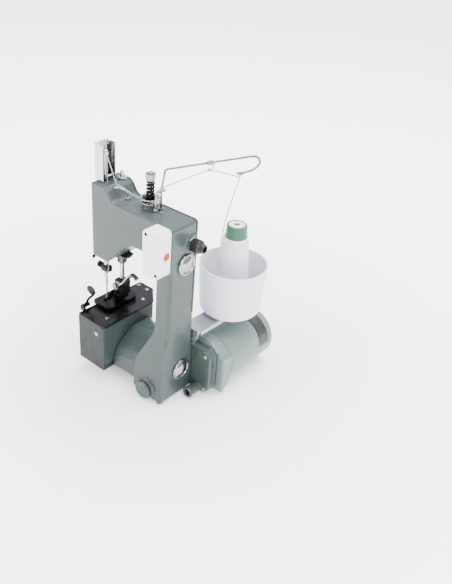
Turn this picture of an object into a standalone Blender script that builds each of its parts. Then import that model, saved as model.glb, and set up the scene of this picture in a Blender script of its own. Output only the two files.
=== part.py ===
"""Portable bag closer sewing machine, built as an assembly of separate pieces.

Axes: X runs along the arm (needle end at -X), Y along the feed and the motor (motor at +Y), Z is up.
Places are given from the column's front right edge, with Z = 0 on the surface that the machine stands on.
An empty at the end moves the whole assembly, so that the world origin is under the middle of its outline.
Lengths below are in millimetres. They are turned into metres where a mesh is made.
"""

import math

import bmesh
import bpy
from mathutils import Matrix, Vector

MM = 0.001
GAP = 0.3                      # running gap between touching pieces

STAND_SHIFT = (47.35, -68.9, 0.0)   # from the column's front right edge to the middle of the outline

# Main casting
COLUMN_WIDTH = 22.0
DEPTH = 42.0                   # column, arm and head, front to back
WALL = 3.5
ARM_TOP = 238.2
ARM_BOTTOM = 195.4
HEAD_LEFT = -129.2
HEAD_TOP = 253.6
HEAD_BOTTOM = 157.4
FRAME_BOTTOM = 4.0
FOOT_FRONT = -10.0
FOOT_BACK = 44.0
COVER_THICK = 2.3
COVER_FRONT = DEPTH - COVER_THICK
COVER_BOTTOM = 69.0
GLAND_Y = 31.0
GLAND_Z = 212.5
UPPER_PLUG = (0.0, 24.8, 188.0)
LOWER_PLUG = (0.0, 23.8, 41.0)
CAP_CENTRE = (-25.0, 0.0, 15.5)
FOOT_SCREW = (-6.2, -4.2, 0.0)
BUTTON_CENTRE = (0.0, -8.0, 210.0)

# Base box and throat plate
BOX_LEFT = -130.7
BOX_RIGHT = -84.4
BOX_FRONT = -25.2
BOX_BACK = 84.2
BOX_CORNER_Y = 62.9
BOX_CORNER_X = -106.0
BOX_WALL = 3.0
BOX_BOTTOM = 15.5
CASTING_BOTTOM = 23.5
BOX_FEET = [(-119.0, 10.0), (-119.0, 66.0)]
PLATE_TOP = 82.0
PLATE_THICK = 2.6
SHEET = 1.5

# Needle and presser
NEEDLE_X = -122.3
NEEDLE_Y = 16.4
BAR_RADIUS = 3.2
PRESSER_X = -111.7
PRESSER_Y = 33.0
NEEDLE_TIP = 86.0
THREAD_RADIUS = 0.45
THREAD_LINE = (NEEDLE_X + 8.3, NEEDLE_Y - 4.4, 0.0)   # upright run of the needle's thread in the head
CLAMP_Z = 135.4
LEVER_PIN_Z = 111.0
CUTTER_X = -134.2
CUTTER_Z = 85.6
PADDLE_CENTRE = (-130.8, -2.7, 106.0)
PADDLE_HALF = (1.9, 4.5, 7.5)   # thickness, width and length, each from the middle out
PADDLE_LONG = (-0.366, -0.341, 0.866)
PADDLE_THIN = (0.664, -0.747, 0.0)

# Drive
SHAFT_X = -21.0
SHAFT_Z = 41.0
MOTOR_X = 6.7
MOTOR_Z = 37.0
MOTOR_RADIUS = 34.0
MOTOR_FRONT = 76.3
MOTOR_BACK = 163.0
GEAR_MODULE = 1.4
PINION_TEETH = 10
GEAR_TEETH = 30
GEAR_FRONT = 51.5
GEAR_BACK = 59.5
CRANK_THROW = 10.8
CRANK_ANGLE = -41.0            # degrees above the +X direction, crank pin at rest
ROCKER_X = -62.0
ROCKER_Z = 217.0
ROCKER_LEFT = NEEDLE_X - ROCKER_X
ROCKER_RIGHT = 50.0
ROCKER_TILT = 8.06             # degrees, needle end up at rest
HOUSING_SPLIT = 58.0
LUG_CENTRE = (12.0, 0.0, 8.6)
LOOPER_Y = 20.0
LOOPER_Z = 50.0

# Thread stand
CUP_X = 0.0
CUP_Y = 114.0
CUP_BOTTOM = 91.0
CUP_TOP = 155.5
CUP_RADIUS = 42.0
CUP_FOOT_RADIUS = 38.3
BRACKET_TOP = 90.6
CONE_TOP = 207.5

# Tension unit and thread guides
TENSION_X = -58.0
TENSION_Y = 25.0
BOSS_TOP = 244.6
WIRE_TOP = 287.0
GUIDE_BASE = (-42.5, 26.5)
GUIDE_END = (-3.0, 128.0)
PIN_BASE = (-43.5, 19.0)
EYELET_BASE = (-89.5, 20.5)

AXIS_MATRIX = {
    "X": Matrix(((0, 0, 1), (1, 0, 0), (0, 1, 0))),
    "Y": Matrix(((1, 0, 0), (0, 0, 1), (0, -1, 0))),
    "Z": Matrix.Identity(3),
}
OUTLINE_MATRIX = {
    "X": Matrix(((0, 0, 1), (1, 0, 0), (0, 1, 0))),
    "Y": Matrix(((1, 0, 0), (0, 0, -1), (0, 1, 0))),
    "Z": Matrix.Identity(3),
}
AXIS_INDEX = {"X": 0, "Y": 1, "Z": 2}


def clear_scene():
    for old in list(bpy.data.objects):
        bpy.data.objects.remove(old, do_unlink=True)


def make_collection(name):
    collection = bpy.data.collections.new(name)
    bpy.context.scene.collection.children.link(collection)
    return collection


def make_material(name, colour, roughness, metallic=0.0, alpha=1.0):
    material = bpy.data.materials.new(name)
    material.use_nodes = True
    shader = material.node_tree.nodes["Principled BSDF"]
    shader.inputs["Base Color"].default_value = (*colour, 1.0)
    shader.inputs["Roughness"].default_value = roughness
    shader.inputs["Metallic"].default_value = metallic
    shader.inputs["Alpha"].default_value = alpha
    return material


clear_scene()
PARTS = make_collection("bag_closer")
TOOLS = make_collection("cutters")
PIVOTS = make_collection("pivots")
ENAMEL = make_material("grey_green_enamel", (0.31, 0.38, 0.365), 0.35)
MOTOR_PAINT = make_material("motor_enamel", (0.43, 0.50, 0.475), 0.38)
CHROME = make_material("chrome", (0.80, 0.80, 0.82), 0.08, 1.0)
STEEL = make_material("bright_steel", (0.62, 0.62, 0.63), 0.25, 1.0)
DARK_STEEL = make_material("blackened_steel", (0.02, 0.02, 0.022), 0.32, 0.7)
SHEET_METAL = make_material("sheet_metal", (0.47, 0.49, 0.50), 0.35, 0.8)
BRASS = make_material("brass", (0.72, 0.55, 0.26), 0.3, 1.0)
BLACK_PLASTIC = make_material("black_plastic", (0.015, 0.015, 0.017), 0.4)
WHITE_PLASTIC = make_material("white_plastic", (0.82, 0.82, 0.86), 0.3)
CUP_PLASTIC = make_material("cup_plastic", (0.78, 0.78, 0.86), 0.35)
RED_PLASTIC = make_material("red_plastic", (0.75, 0.04, 0.03), 0.25)
RUBBER = make_material("rubber", (0.02, 0.02, 0.02), 0.7)
YARN = make_material("yarn", (0.86, 0.86, 0.88), 0.8)
CONE_PAPER = make_material("cone_tube", (0.06, 0.25, 0.15), 0.6)
COPPER = make_material("copper_winding", (0.55, 0.25, 0.12), 0.35, 1.0)
NYLON = make_material("nylon_gear", (0.75, 0.72, 0.62), 0.5)


def add_object(name, mesh, material=None, tool=False):
    item = bpy.data.objects.new(name, mesh)
    collection = TOOLS if tool else PARTS
    collection.objects.link(item)
    if tool:
        item.hide_render = True
        item.display_type = "WIRE"
    if material is not None:
        item.data.materials.append(material)
    return item


def smooth(item, angle=32.0):
    item.data.shade_smooth()
    item.data.set_sharp_from_angle(angle=math.radians(angle))
    return item


def mesh_from(form, name):
    mesh = bpy.data.meshes.new(name)
    form.to_mesh(mesh)
    form.free()
    return mesh


def evaluated_mesh(item):
    graph = bpy.context.evaluated_depsgraph_get()
    return bpy.data.meshes.new_from_object(item.evaluated_get(graph), depsgraph=graph)


def curve_to_mesh_object(item, material, tool=False):
    """Replace a curve object with a closed mesh object of the same name and place."""
    bpy.context.view_layer.update()
    mesh = evaluated_mesh(item)
    place = item.matrix_world.copy()
    name = item.name
    bpy.data.objects.remove(item, do_unlink=True)
    form = bmesh.new()
    form.from_mesh(mesh)
    bmesh.ops.remove_doubles(form, verts=form.verts, dist=1e-6)
    form.to_mesh(mesh)
    form.free()
    mesh.materials.clear()
    solid = add_object(name, mesh, material, tool)
    solid.matrix_world = place
    return solid


def box(name, low, high, material=None, bevel=0.0, tool=False):
    """Box between two corners, its origin at its middle."""
    size = [high[k] - low[k] for k in range(3)]
    form = bmesh.new()
    bmesh.ops.create_cube(form, size=1.0)
    bmesh.ops.scale(form, vec=Vector(size) * MM, verts=form.verts)
    item = add_object(name, mesh_from(form, name), material, tool)
    item.location = Vector([(low[k] + high[k]) / 2 for k in range(3)]) * MM
    if bevel:
        rounding = item.modifiers.new("rounding", "BEVEL")
        rounding.width = bevel * MM
        rounding.segments = 1
        rounding.limit_method = "ANGLE"
    return item


def rod(name, centre, axis, start, end, radius, material=None, sides=12, end_radius=None, tool=False):
    """Cylinder or cone on an axis, from start to end along it; centre gives its other two coordinates."""
    far_radius = radius if end_radius is None else end_radius
    form = bmesh.new()
    bmesh.ops.create_cone(form, cap_ends=True, segments=sides, radius1=radius * MM,
                          radius2=far_radius * MM, depth=(end - start) * MM)
    item = add_object(name, mesh_from(form, name), material, tool)
    place = list(centre)
    place[AXIS_INDEX[axis]] = (start + end) / 2
    item.matrix_world = Matrix.Translation(Vector(place) * MM) @ AXIS_MATRIX[axis].to_4x4()
    return smooth(item)


def turned(name, centre, axis, profile, material=None, steps=16, tool=False):
    """Turned shape. The profile is (radius, place along the axis), outer side first, from high to low."""
    mesh = bpy.data.meshes.new(name)
    points = [(radius * MM, 0.0, height * MM) for radius, height in profile]
    closed = profile[0][0] > 0.0 and profile[-1][0] > 0.0
    edges = [(k, k + 1) for k in range(len(points) - 1)]
    if closed:
        edges.append((len(points) - 1, 0))
    mesh.from_pydata(points, edges, [])
    item = add_object(name, mesh, material, tool)
    place = list(centre)
    place[AXIS_INDEX[axis]] = 0.0
    item.matrix_world = Matrix.Translation(Vector(place) * MM) @ AXIS_MATRIX[axis].to_4x4()
    screw = item.modifiers.new("turning", "SCREW")
    screw.steps = steps
    screw.render_steps = steps
    screw.use_merge_vertices = True
    screw.merge_threshold = 0.00001
    screw.use_smooth_shade = True
    return item


def ring(name, centre, axis, start, end, outer, inner, material=None, steps=16, tool=False):
    profile = [(outer, end), (outer, start), (inner, start), (inner, end)]
    return turned(name, centre, axis, profile, material, steps, tool)


def rounded(corners, steps=2):
    """Outline from (x, y, corner radius) points: each corner becomes an arc of the given radius."""
    outline = []
    count = len(corners)
    for k in range(count):
        here = Vector(corners[k][:2])
        radius = corners[k][2]
        before = Vector(corners[k - 1][:2]) - here
        after = Vector(corners[(k + 1) % count][:2]) - here
        if radius <= 0.0:
            outline.append(here)
            continue
        half = before.angle(after) / 2
        reach = radius / math.tan(half)
        middle = here + (before.normalized() + after.normalized()).normalized() * radius / math.sin(half)
        first = here + before.normalized() * reach - middle
        last = here + after.normalized() * reach - middle
        turn = first.angle_signed(last)
        for step in range(steps + 1):
            spot = Matrix.Rotation(-turn * step / steps, 2) @ first
            outline.append(middle + spot)
    return outline


def circle_points(centre, radius, count=32, start=0.0, end=360.0):
    whole = abs(end - start) >= 360.0
    parts = count if whole else count - 1
    spots = []
    for k in range(count):
        angle = math.radians(start + (end - start) * k / parts)
        spots.append(Vector((centre[0] + radius * math.cos(angle), centre[1] + radius * math.sin(angle))))
    return spots


def plate(name, outlines, axis, start, end, material=None, bevel=0.0, tool=False):
    """Flat outline pushed through from start to end along an axis; further outlines are holes in it.

    An outline for X holds (y, z), for Y holds (x, z) and for Z holds (x, y).
    """
    curve = bpy.data.curves.new(name, "CURVE")
    curve.dimensions = "2D"
    curve.fill_mode = "BOTH"
    curve.extrude = (end - start) / 2 * MM
    for outline in outlines:
        spline = curve.splines.new("POLY")
        spline.points.add(len(outline) - 1)
        for point, spot in zip(spline.points, outline):
            point.co = (spot[0] * MM, spot[1] * MM, 0.0, 1.0)
        spline.use_cyclic_u = True
    item = bpy.data.objects.new(name, curve)
    PARTS.objects.link(item)
    middle = [0.0, 0.0, 0.0]
    middle[AXIS_INDEX[axis]] = (start + end) / 2 * MM
    item.matrix_world = Matrix.Translation(middle) @ OUTLINE_MATRIX[axis].to_4x4()
    solid = curve_to_mesh_object(item, material, tool)
    if bevel:
        rounding = solid.modifiers.new("rounding", "BEVEL")
        rounding.width = bevel * MM
        rounding.segments = 1
        rounding.limit_method = "ANGLE"
    return smooth(solid)


def smooth_route(points, per_span=6):
    """Points along a smooth curve through the given ones."""
    knots = [Vector(point) for point in points]
    knots = [knots[0] * 2 - knots[1]] + knots + [knots[-1] * 2 - knots[-2]]
    route = []
    for k in range(1, len(knots) - 2):
        before, start, end, after = knots[k - 1:k + 3]
        for step in range(per_span):
            t = step / per_span
            route.append(0.5 * (2 * start + (end - before) * t
                                + (2 * before - 5 * start + 4 * end - after) * t ** 2
                                + (3 * start - before - 3 * end + after) * t ** 3))
    route.append(knots[-2])
    return route


def tube(name, points, radius, material, resolution=2):
    """Round wire along the points, its ends capped."""
    curve = bpy.data.curves.new(name, "CURVE")
    curve.dimensions = "3D"
    curve.bevel_depth = radius * MM
    curve.bevel_resolution = resolution
    curve.use_fill_caps = True
    spline = curve.splines.new("POLY")
    spline.points.add(len(points) - 1)
    for point, spot in zip(spline.points, points):
        point.co = (spot[0] * MM, spot[1] * MM, spot[2] * MM, 1.0)
    item = bpy.data.objects.new(name, curve)
    PARTS.objects.link(item)
    return curve_to_mesh_object(item, material)


def helix(centre, radius, low, high, turns, per_turn=12):
    """Points of an upright coil spring with a flat turn at each end."""
    spots = []
    count = int(turns * per_turn)
    for k in range(count + 1):
        turn = k / per_turn
        live = min(max((turn - 0.8) / (turns - 1.6), 0.0), 1.0)
        angle = 2 * math.pi * turn
        spots.append((centre[0] + radius * math.cos(angle), centre[1] + radius * math.sin(angle),
                      low + (high - low) * live + 1.3 * (min(turn, 0.8) + max(turn - turns + 0.8, 0.0))))
    return spots


def boolean(item, other, operation):
    step = item.modifiers.new(operation.lower(), "BOOLEAN")
    step.operation = operation
    step.solver = "EXACT"
    step.object = other
    return item


def cut(item, *cutters):
    for cutter in cutters:
        boolean(item, cutter, "DIFFERENCE")
    return item


def join(item, *others):
    for other in others:
        boolean(item, other, "UNION")
    return item


def loft(name, sections, material=None, tool=False):
    """Closed solid through sections that have the same number of points."""
    form = bmesh.new()
    loops = [[form.verts.new(Vector(spot) * MM) for spot in section] for section in sections]
    count = len(loops[0])
    for first, second in zip(loops, loops[1:]):
        for k in range(count):
            form.faces.new((first[k], first[(k + 1) % count], second[(k + 1) % count], second[k]))
    form.faces.new(list(reversed(loops[0])))
    form.faces.new(loops[-1])
    bmesh.ops.recalc_face_normals(form, faces=form.faces)
    return smooth(add_object(name, mesh_from(form, name), material, tool))


# ---------------------------------------------------------------- main casting

def arm_outline(inset=0.0, low=FRAME_BOTTOM):
    """Column, arm and head seen from the front; inset moves every side inwards."""
    left = HEAD_LEFT + inset
    top = ARM_TOP - inset
    under = ARM_BOTTOM + inset
    corner = max(4.5 - inset, 1.0)
    return rounded([
        (-inset, low, 0.0),
        (-inset, top, corner),
        (-93.5, top, 9.0),
        (-101.0 - 0.6 * inset, HEAD_TOP - 4.0 - inset, 3.0),
        (-106.5 - 0.6 * inset, HEAD_TOP - inset, 3.0),
        (left, HEAD_TOP - inset, max(3.0 - inset, 0.8)),
        (left, HEAD_BOTTOM + inset, max(2.0 - inset, 0.8)),
        (-103.0 - 0.4 * inset, HEAD_BOTTOM + inset, 3.0),
        (-78.0 - 0.7 * inset, 184.5 + 0.7 * inset, 8.0),
        (-62.0, under, 8.0),
        (-COLUMN_WIDTH + inset, under, 3.0),
        (-COLUMN_WIDTH + inset, low, 0.0),
    ], 2)


def foot_outline(inset=0.0):
    """Flared foot of the column seen from the front."""
    low = FRAME_BOTTOM + inset
    return rounded([
        (-inset, low, 0.0),
        (-inset, 116.0 - inset, 0.0),
        (-20.5 + inset, 114.0 - inset, 2.0),
        (-22.5 + inset, 95.0, 8.0),
        (-33.0 + inset, 73.0, 20.0),
        (-46.0 + inset, 47.0, 20.0),
        (-47.0 + inset, low + 5.0, 6.0),
        (-40.0 + inset, low, 4.0),
    ], 3)


def foot_slope(name, inset):
    """Tool that slopes the foot's front back into the column; inset moves the slope inwards."""
    return plate(name, [[(-30.0, 56.0), (FOOT_FRONT + inset, 60.0), (FOOT_FRONT + 1.0 + inset, 68.0),
                         (-0.2 + inset, 108.0), (-0.2 + inset, 150.0), (-30.0, 150.0)]], "X", -80.0, 20.0,
                         tool=True)


def trumpet_section(x, front, back, low, high, shoulder):
    """Section of the hollow base arm at one place along X."""
    return [
        (x, back, low + 6.0), (x, back, high - 8.0), (x, back - 5.0, high - 2.0), (x, back - 12.0, high),
        (x, front + 32.0, high), (x, front + 24.0, high - 4.0),
        (x, front + shoulder, (low + high) / 2 + 9.0), (x, front, (low + high) / 2 - 4.0),
        (x, front - 1.0, low + 11.0), (x, front + 9.0, low + 3.0), (x, front + 20.0, low),
        (x, back - 8.0, low),
    ]


def make_frame():
    frame = plate("machine_frame", [arm_outline()], "Y", 0.0, COVER_FRONT - GAP, ENAMEL)
    foot = plate("foot_form", [foot_outline()], "Y", FOOT_FRONT, FOOT_BACK, tool=True)
    cut(foot, foot_slope("foot_slope_form", 0.0),
        box("foot_back_form", (-60.0, DEPTH - 0.2, COVER_BOTTOM + 1.0), (10.0, 60.0, 140.0), tool=True))
    slope = foot.modifiers.new("slope", "BEVEL")
    slope.width = 1.6 * MM
    slope.segments = 1
    slope.limit_method = "ANGLE"
    trumpet = loft("trumpet_form", [
        trumpet_section(BOX_RIGHT + GAP, -9.0, 62.0, 7.0, 63.0, 5.5),
        trumpet_section(-66.0, -6.5, 49.0, 6.0, 72.0, 6.0),
        trumpet_section(-50.0, -6.0, 43.0, 5.0, 79.0, 6.0),
        trumpet_section(-36.0, -6.0, 42.0, 5.0, 84.0, 4.0),
    ], tool=True)
    join(frame, foot, trumpet)
    join(frame,
         rod("front_boss_form", CAP_CENTRE, "Y", -12.3, -8.0, 12.9, sides=24, tool=True),
         rod("tension_boss_form", (TENSION_X, TENSION_Y, 0), "Z", ARM_TOP - 2.0, BOSS_TOP, 7.7, sides=20,
             tool=True),
         box("gland_pad_form", (-1.0, GLAND_Y - 7.0, 202.0), (1.6, GLAND_Y + 7.0, 223.0), bevel=1.0,
             tool=True),
         rod("gland_pad_round_form", (0.0, GLAND_Y, GLAND_Z), "X", -1.1, 1.7, 8.2, tool=True))
    cavity = plate("arm_cavity_form", [arm_outline(WALL, 60.0)], "Y", WALL + 0.5, 60.0, tool=True)
    foot_cavity = plate("foot_cavity_form", [foot_outline(WALL)], "Y", FOOT_FRONT + WALL, 70.0, tool=True)
    cut(foot_cavity, foot_slope("cavity_slope_form", WALL + 0.4))
    edge = loft("column_edge_form", [[(-1.0 - size, -3.0, z), (4.0, -3.0, z), (4.0, 1.0 + size, z)]
                                     for size, z in ((-0.4, 66.0), (1.6, 96.0), (3.9, 120.0),
                                                     (4.4, 184.0))],
                tool=True)
    cut(frame, cavity, foot_cavity, edge,
        box("bracket_clearance_form", (-60.0, DEPTH, 68.0), (20.0, 60.0, 130.0), tool=True),
        rod("trumpet_bore_form", (0, 21.0, 45.0), "X", -100.0, -34.0, 12.0, sides=20, tool=True))
    join(frame,
         rod("rocker_boss_form", (ROCKER_X, 0, ROCKER_Z), "Y", 2.0, 13.0, 8.0, tool=True))
    cut(frame,
        rod("rocker_shaft_hole_form", (ROCKER_X, 0, ROCKER_Z), "Y", 2.6, 20.0, 4.0 + GAP, tool=True),
        rod("cap_recess_form", CAP_CENTRE, "Y", -20.0, -10.8, 10.6, sides=20, tool=True),
        rod("cap_hole_form", CAP_CENTRE, "Y", -14.0, 4.0, 6.0, tool=True),
        rod("upper_plug_hole_form", UPPER_PLUG, "X", -12.0, 12.0, 11.0, sides=20, tool=True),
        rod("lower_plug_hole_form", LOWER_PLUG, "X", -12.0, 12.0, 11.0, sides=20, tool=True),
        rod("gland_hole_form", (0, GLAND_Y, GLAND_Z), "X", -12.0, 12.0, 4.0, tool=True),
        rod("upper_bush_hole_form", (NEEDLE_X, NEEDLE_Y, 0), "Z", 240.0, 270.0, BAR_RADIUS + GAP,
            tool=True),
        rod("lower_bush_hole_form", (NEEDLE_X, NEEDLE_Y, 0), "Z", 150.0, 166.0, 5.0 + GAP, tool=True),
        rod("upper_thread_hole_form", THREAD_LINE, "Z", 240.0, 270.0, 1.5, sides=12, tool=True),
        rod("lower_thread_hole_form", THREAD_LINE, "Z", 150.0, 166.0, 1.5, sides=12, tool=True),
        rod("adjuster_hole_form", (PRESSER_X, PRESSER_Y, 0), "Z", 240.0, 270.0, 4.5 + GAP, tool=True),
        rod("presser_bush_hole_form", (PRESSER_X, PRESSER_Y, 0), "Z", 150.0, 178.0, 5.6 + GAP, tool=True),
        rod("post_hole_form", (TENSION_X, TENSION_Y, 0), "Z", 234.0, 260.0, 2.4 + GAP, tool=True),
        rod("switch_wire_hole_form", (-13.0, 0, 210.0), "Y", -5.0, 8.0, 4.0, tool=True),
        rod("guide_hole_form", GUIDE_BASE + (0,), "Z", 225.0, 250.0, 1.3 + GAP, sides=14, tool=True),
        rod("pin_hole_form", PIN_BASE + (0,), "Z", 225.0, 250.0, 0.9 + GAP, sides=12, tool=True),
        rod("eyelet_hole_form", EYELET_BASE + (0,), "Z", 225.0, 260.0, 1.6, sides=12, tool=True),
        rod("foot_screw_hole_form", FOOT_SCREW, "Z", 0.0, 12.0, 1.9 + GAP, sides=12, tool=True))


def make_cover_and_plugs():
    cover_points = arm_outline(0.0, COVER_BOTTOM)
    cover = plate("rear_cover", [cover_points], "Y", COVER_FRONT, DEPTH, ENAMEL)
    foot_clearance = plate("foot_clearance_form", [foot_outline(-GAP)], "Y", -50.0, 80.0, tool=True)
    cut(cover, foot_clearance)
    plug_profile = [(0.0, 5.6), (4.2, 5.2), (7.8, 4.0), (10.4, 2.4), (11.2, 2.0), (11.6, 2.9), (12.9, 2.7),
                    (13.5, 1.7), (13.5, GAP), (10.6, GAP), (10.6, -WALL), (8.6, -WALL), (8.6, 0.2),
                    (0.0, 3.0)]
    turned("upper_access_plug", UPPER_PLUG, "X", plug_profile, CHROME)
    turned("lower_access_plug", LOWER_PLUG, "X", plug_profile, CHROME)
    cap_profile = [(0.0, -6.2), (5.7, -6.2), (5.7, -11.1), (10.2, -11.1), (10.2, -12.9), (11.9, -12.9),
                   (11.9, -16.0), (11.2, -16.8), (0.0, -16.8)]
    turned("front_shaft_cap", CAP_CENTRE, "Y", cap_profile, ENAMEL)


def make_front_foot():
    shoulder = FRAME_BOTTOM - GAP
    profile = [(0.0, 11.0), (1.9, 11.0), (1.9, shoulder), (4.3, shoulder), (4.0, 0.0), (0.0, 0.0)]
    turned("front_foot", FOOT_SCREW, "Z", profile, RUBBER, 20)


# ---------------------------------------------------------------- base box

def box_outline(inset=0.0):
    return rounded([
        (BOX_LEFT + inset, BOX_FRONT + inset, max(2.0 - inset, 0.5)),
        (BOX_RIGHT - inset, BOX_FRONT + inset, max(4.0 - inset, 1.0)),
        (BOX_RIGHT - inset, BOX_CORNER_Y, 4.0),
        (BOX_CORNER_X - 0.4 * inset, BOX_BACK - inset, 4.0),
        (BOX_LEFT + inset, BOX_BACK - inset, max(3.0 - inset, 0.8)),
    ], 3)


def make_base_box():
    top = PLATE_TOP - PLATE_THICK - GAP
    body = plate("looper_box", [box_outline(0.6), box_outline(BOX_WALL + 0.6)], "Z", CASTING_BOTTOM, top,
                 ENAMEL)
    cut(body,
        box("box_front_form", (BOX_LEFT - 5, BOX_FRONT - 5, 0), (BOX_RIGHT + 5, BOX_FRONT + SHEET + GAP,
                                                                 100),
            tool=True),
        rod("looper_bush_hole_form", (0, LOOPER_Y, LOOPER_Z), "X", -95.0, -80.0, 4.0 + GAP, tool=True))
    plate("box_front_cover", [rounded([
        (BOX_LEFT, BOX_BOTTOM, 1.0), (BOX_RIGHT, BOX_BOTTOM, 1.0), (BOX_RIGHT, top, 1.0),
        (BOX_LEFT, top, 1.0),
    ], 2)], "Y", BOX_FRONT, BOX_FRONT + SHEET, SHEET_METAL)
    low_cover = plate("bottom_cover", [box_outline(0.8)], "Z", BOX_BOTTOM, CASTING_BOTTOM - GAP,
                      BLACK_PLASTIC,
                      bevel=1.6)
    cut(low_cover, plate("bottom_cover_hollow_form", [box_outline(4.0)], "Z", BOX_BOTTOM + 2.6, 30.0,
                         tool=True),
        box("bottom_cover_front_form", (BOX_LEFT - 5, BOX_FRONT - 5, 0),
            (BOX_RIGHT + 5, BOX_FRONT + SHEET + GAP, 30),
            tool=True))
    join(low_cover,
         *[rod("box_foot_form_%d" % k, spot + (0,), "Z", 0.0, BOX_BOTTOM + 1.0, 6.0, sides=20,
               end_radius=7.0,
               tool=True) for k, spot in enumerate(BOX_FEET)])


def make_throat_plate():
    body = plate("throat_plate", [box_outline()], "Z", PLATE_TOP - PLATE_THICK, PLATE_TOP, DARK_STEEL)
    low = PLATE_TOP - 8.0
    high = PLATE_TOP + 4.0
    cut(body,
        box("feed_slot_left_form", (-120.2, 2.0, low), (-114.6, 50.0, high), tool=True),
        rod("needle_hole_form", (NEEDLE_X, NEEDLE_Y, 0), "Z", low, high, 2.6, sides=12, tool=True),
        box("cutter_slot_form", (-128.6, -14.0, low), (-126.4, 0.0, high), tool=True))
    cut(body, rod("oil_hole_form", (-116.3, 68.3, 0), "Z", low, high, 1.2, sides=12, tool=True))
    join(body,
         box("cutter_bracket_form", (-131.0, -16.5, PLATE_TOP - 1.0), (-123.5, -14.6, PLATE_TOP + 2.0),
             tool=True),
         box("cutter_ear_form", (-136.4, -16.5, PLATE_TOP - 1.0), (-129.0, -13.6, 89.0), tool=True),
         rod("cutter_pin_form", (CUTTER_X, 0, CUTTER_Z), "Y", -15.0, -4.0, 1.3, sides=12, tool=True))


# ---------------------------------------------------------------- needle drive

def make_guard():
    left, right, front, back = -130.0, -114.9, 6.1, 26.3
    thick = 1.2
    outline = [(right, front), (left + 2, front), (left + 0.6, front + 0.6), (left, front + 2),
               (left, back - 2),
               (left + 0.6, back - 0.6), (left + 2, back), (right, back), (right, back - thick),
               (left + 2, back - thick), (left + thick, back - 2.2), (left + thick, front + 2.2),
               (left + 2, front + thick), (right, front + thick)]
    plate("needle_bar_guard", [outline], "Z", HEAD_TOP + GAP, 298.3, CHROME)


def make_needle_drive():
    centre = (NEEDLE_X, NEEDLE_Y, 0)
    bar = rod("needle_bar", centre, "Z", 130.5, 291.0, BAR_RADIUS, CHROME, 20)
    eye = tube("thread_eye_form", smooth_route([
        (NEEDLE_X + 2.0, NEEDLE_Y, 287.5), (NEEDLE_X + 5.0, NEEDLE_Y - 0.5, 288.6),
        (NEEDLE_X + 7.9, NEEDLE_Y - 2.6, 288.9), (NEEDLE_X + 9.4, NEEDLE_Y - 5.0, 287.4),
        (NEEDLE_X + 7.9, NEEDLE_Y - 6.2, 285.6), (NEEDLE_X + 6.3, NEEDLE_Y - 4.6, 284.9),
    ], 2), 0.7, None, 1)
    join(bar, as_tool(eye))
    ring("needle_bar_lower_bush", centre, "Z", 149.5, 164.0, 5.0, BAR_RADIUS + GAP, STEEL, 20)
    pin_z = ROCKER_Z - ROCKER_LEFT * math.tan(math.radians(ROCKER_TILT))
    join(bar,
         box("crosshead_form", (-125.2, 12.0, pin_z - 5.0), (-116.5, 20.2, pin_z + 5.0), tool=True),
         rod("crosshead_pin_form", (NEEDLE_X, 0, pin_z), "Y", 16.5, 27.0, 3.0, sides=16, tool=True))
    clamp = box("needle_clamp", (-127.6, 10.8, 131.5), (-115.4, 20.3, 139.6), DARK_STEEL, bevel=1.2)
    cut(clamp, rod("clamp_bore_form", centre, "Z", 120.0, 150.0, BAR_RADIUS + GAP, tool=True),
        rod("clamp_screw_hole_form", (0, NEEDLE_Y, CLAMP_Z), "X", -140.0, -124.0, 1.8 + GAP, sides=14,
            tool=True))
    turned("needle_clamp_screw", (0, NEEDLE_Y, CLAMP_Z), "X",
           [(0.0, -126.1), (1.8, -126.1), (1.8, -128.4), (2.6, -128.4), (2.6, -131.0), (3.9, -131.0),
            (4.1, -132.0), (4.1, -135.2), (3.7, -136.0), (0.0, -136.0)], DARK_STEEL, 20)
    turned("needle", centre, "Z",
           [(0.0, 130.2), (1.2, 130.2), (1.2, 112.0), (0.85, 109.5), (0.85, 92.0), (0.45, 88.0),
            (0.0, NEEDLE_TIP)],
           STEEL, 14)


def as_tool(item):
    """Turn an object that only shapes another one into a hidden tool."""
    for collection in list(item.users_collection):
        collection.objects.unlink(item)
    TOOLS.objects.link(item)
    item.hide_render = True
    item.display_type = "WIRE"
    return item


def arm_point(along):
    """Place on the tilted rocker's centre line, measured from its pivot towards +X."""
    tilt = math.radians(ROCKER_TILT)
    return (ROCKER_X + along, ROCKER_Z - along * math.tan(tilt))


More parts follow.
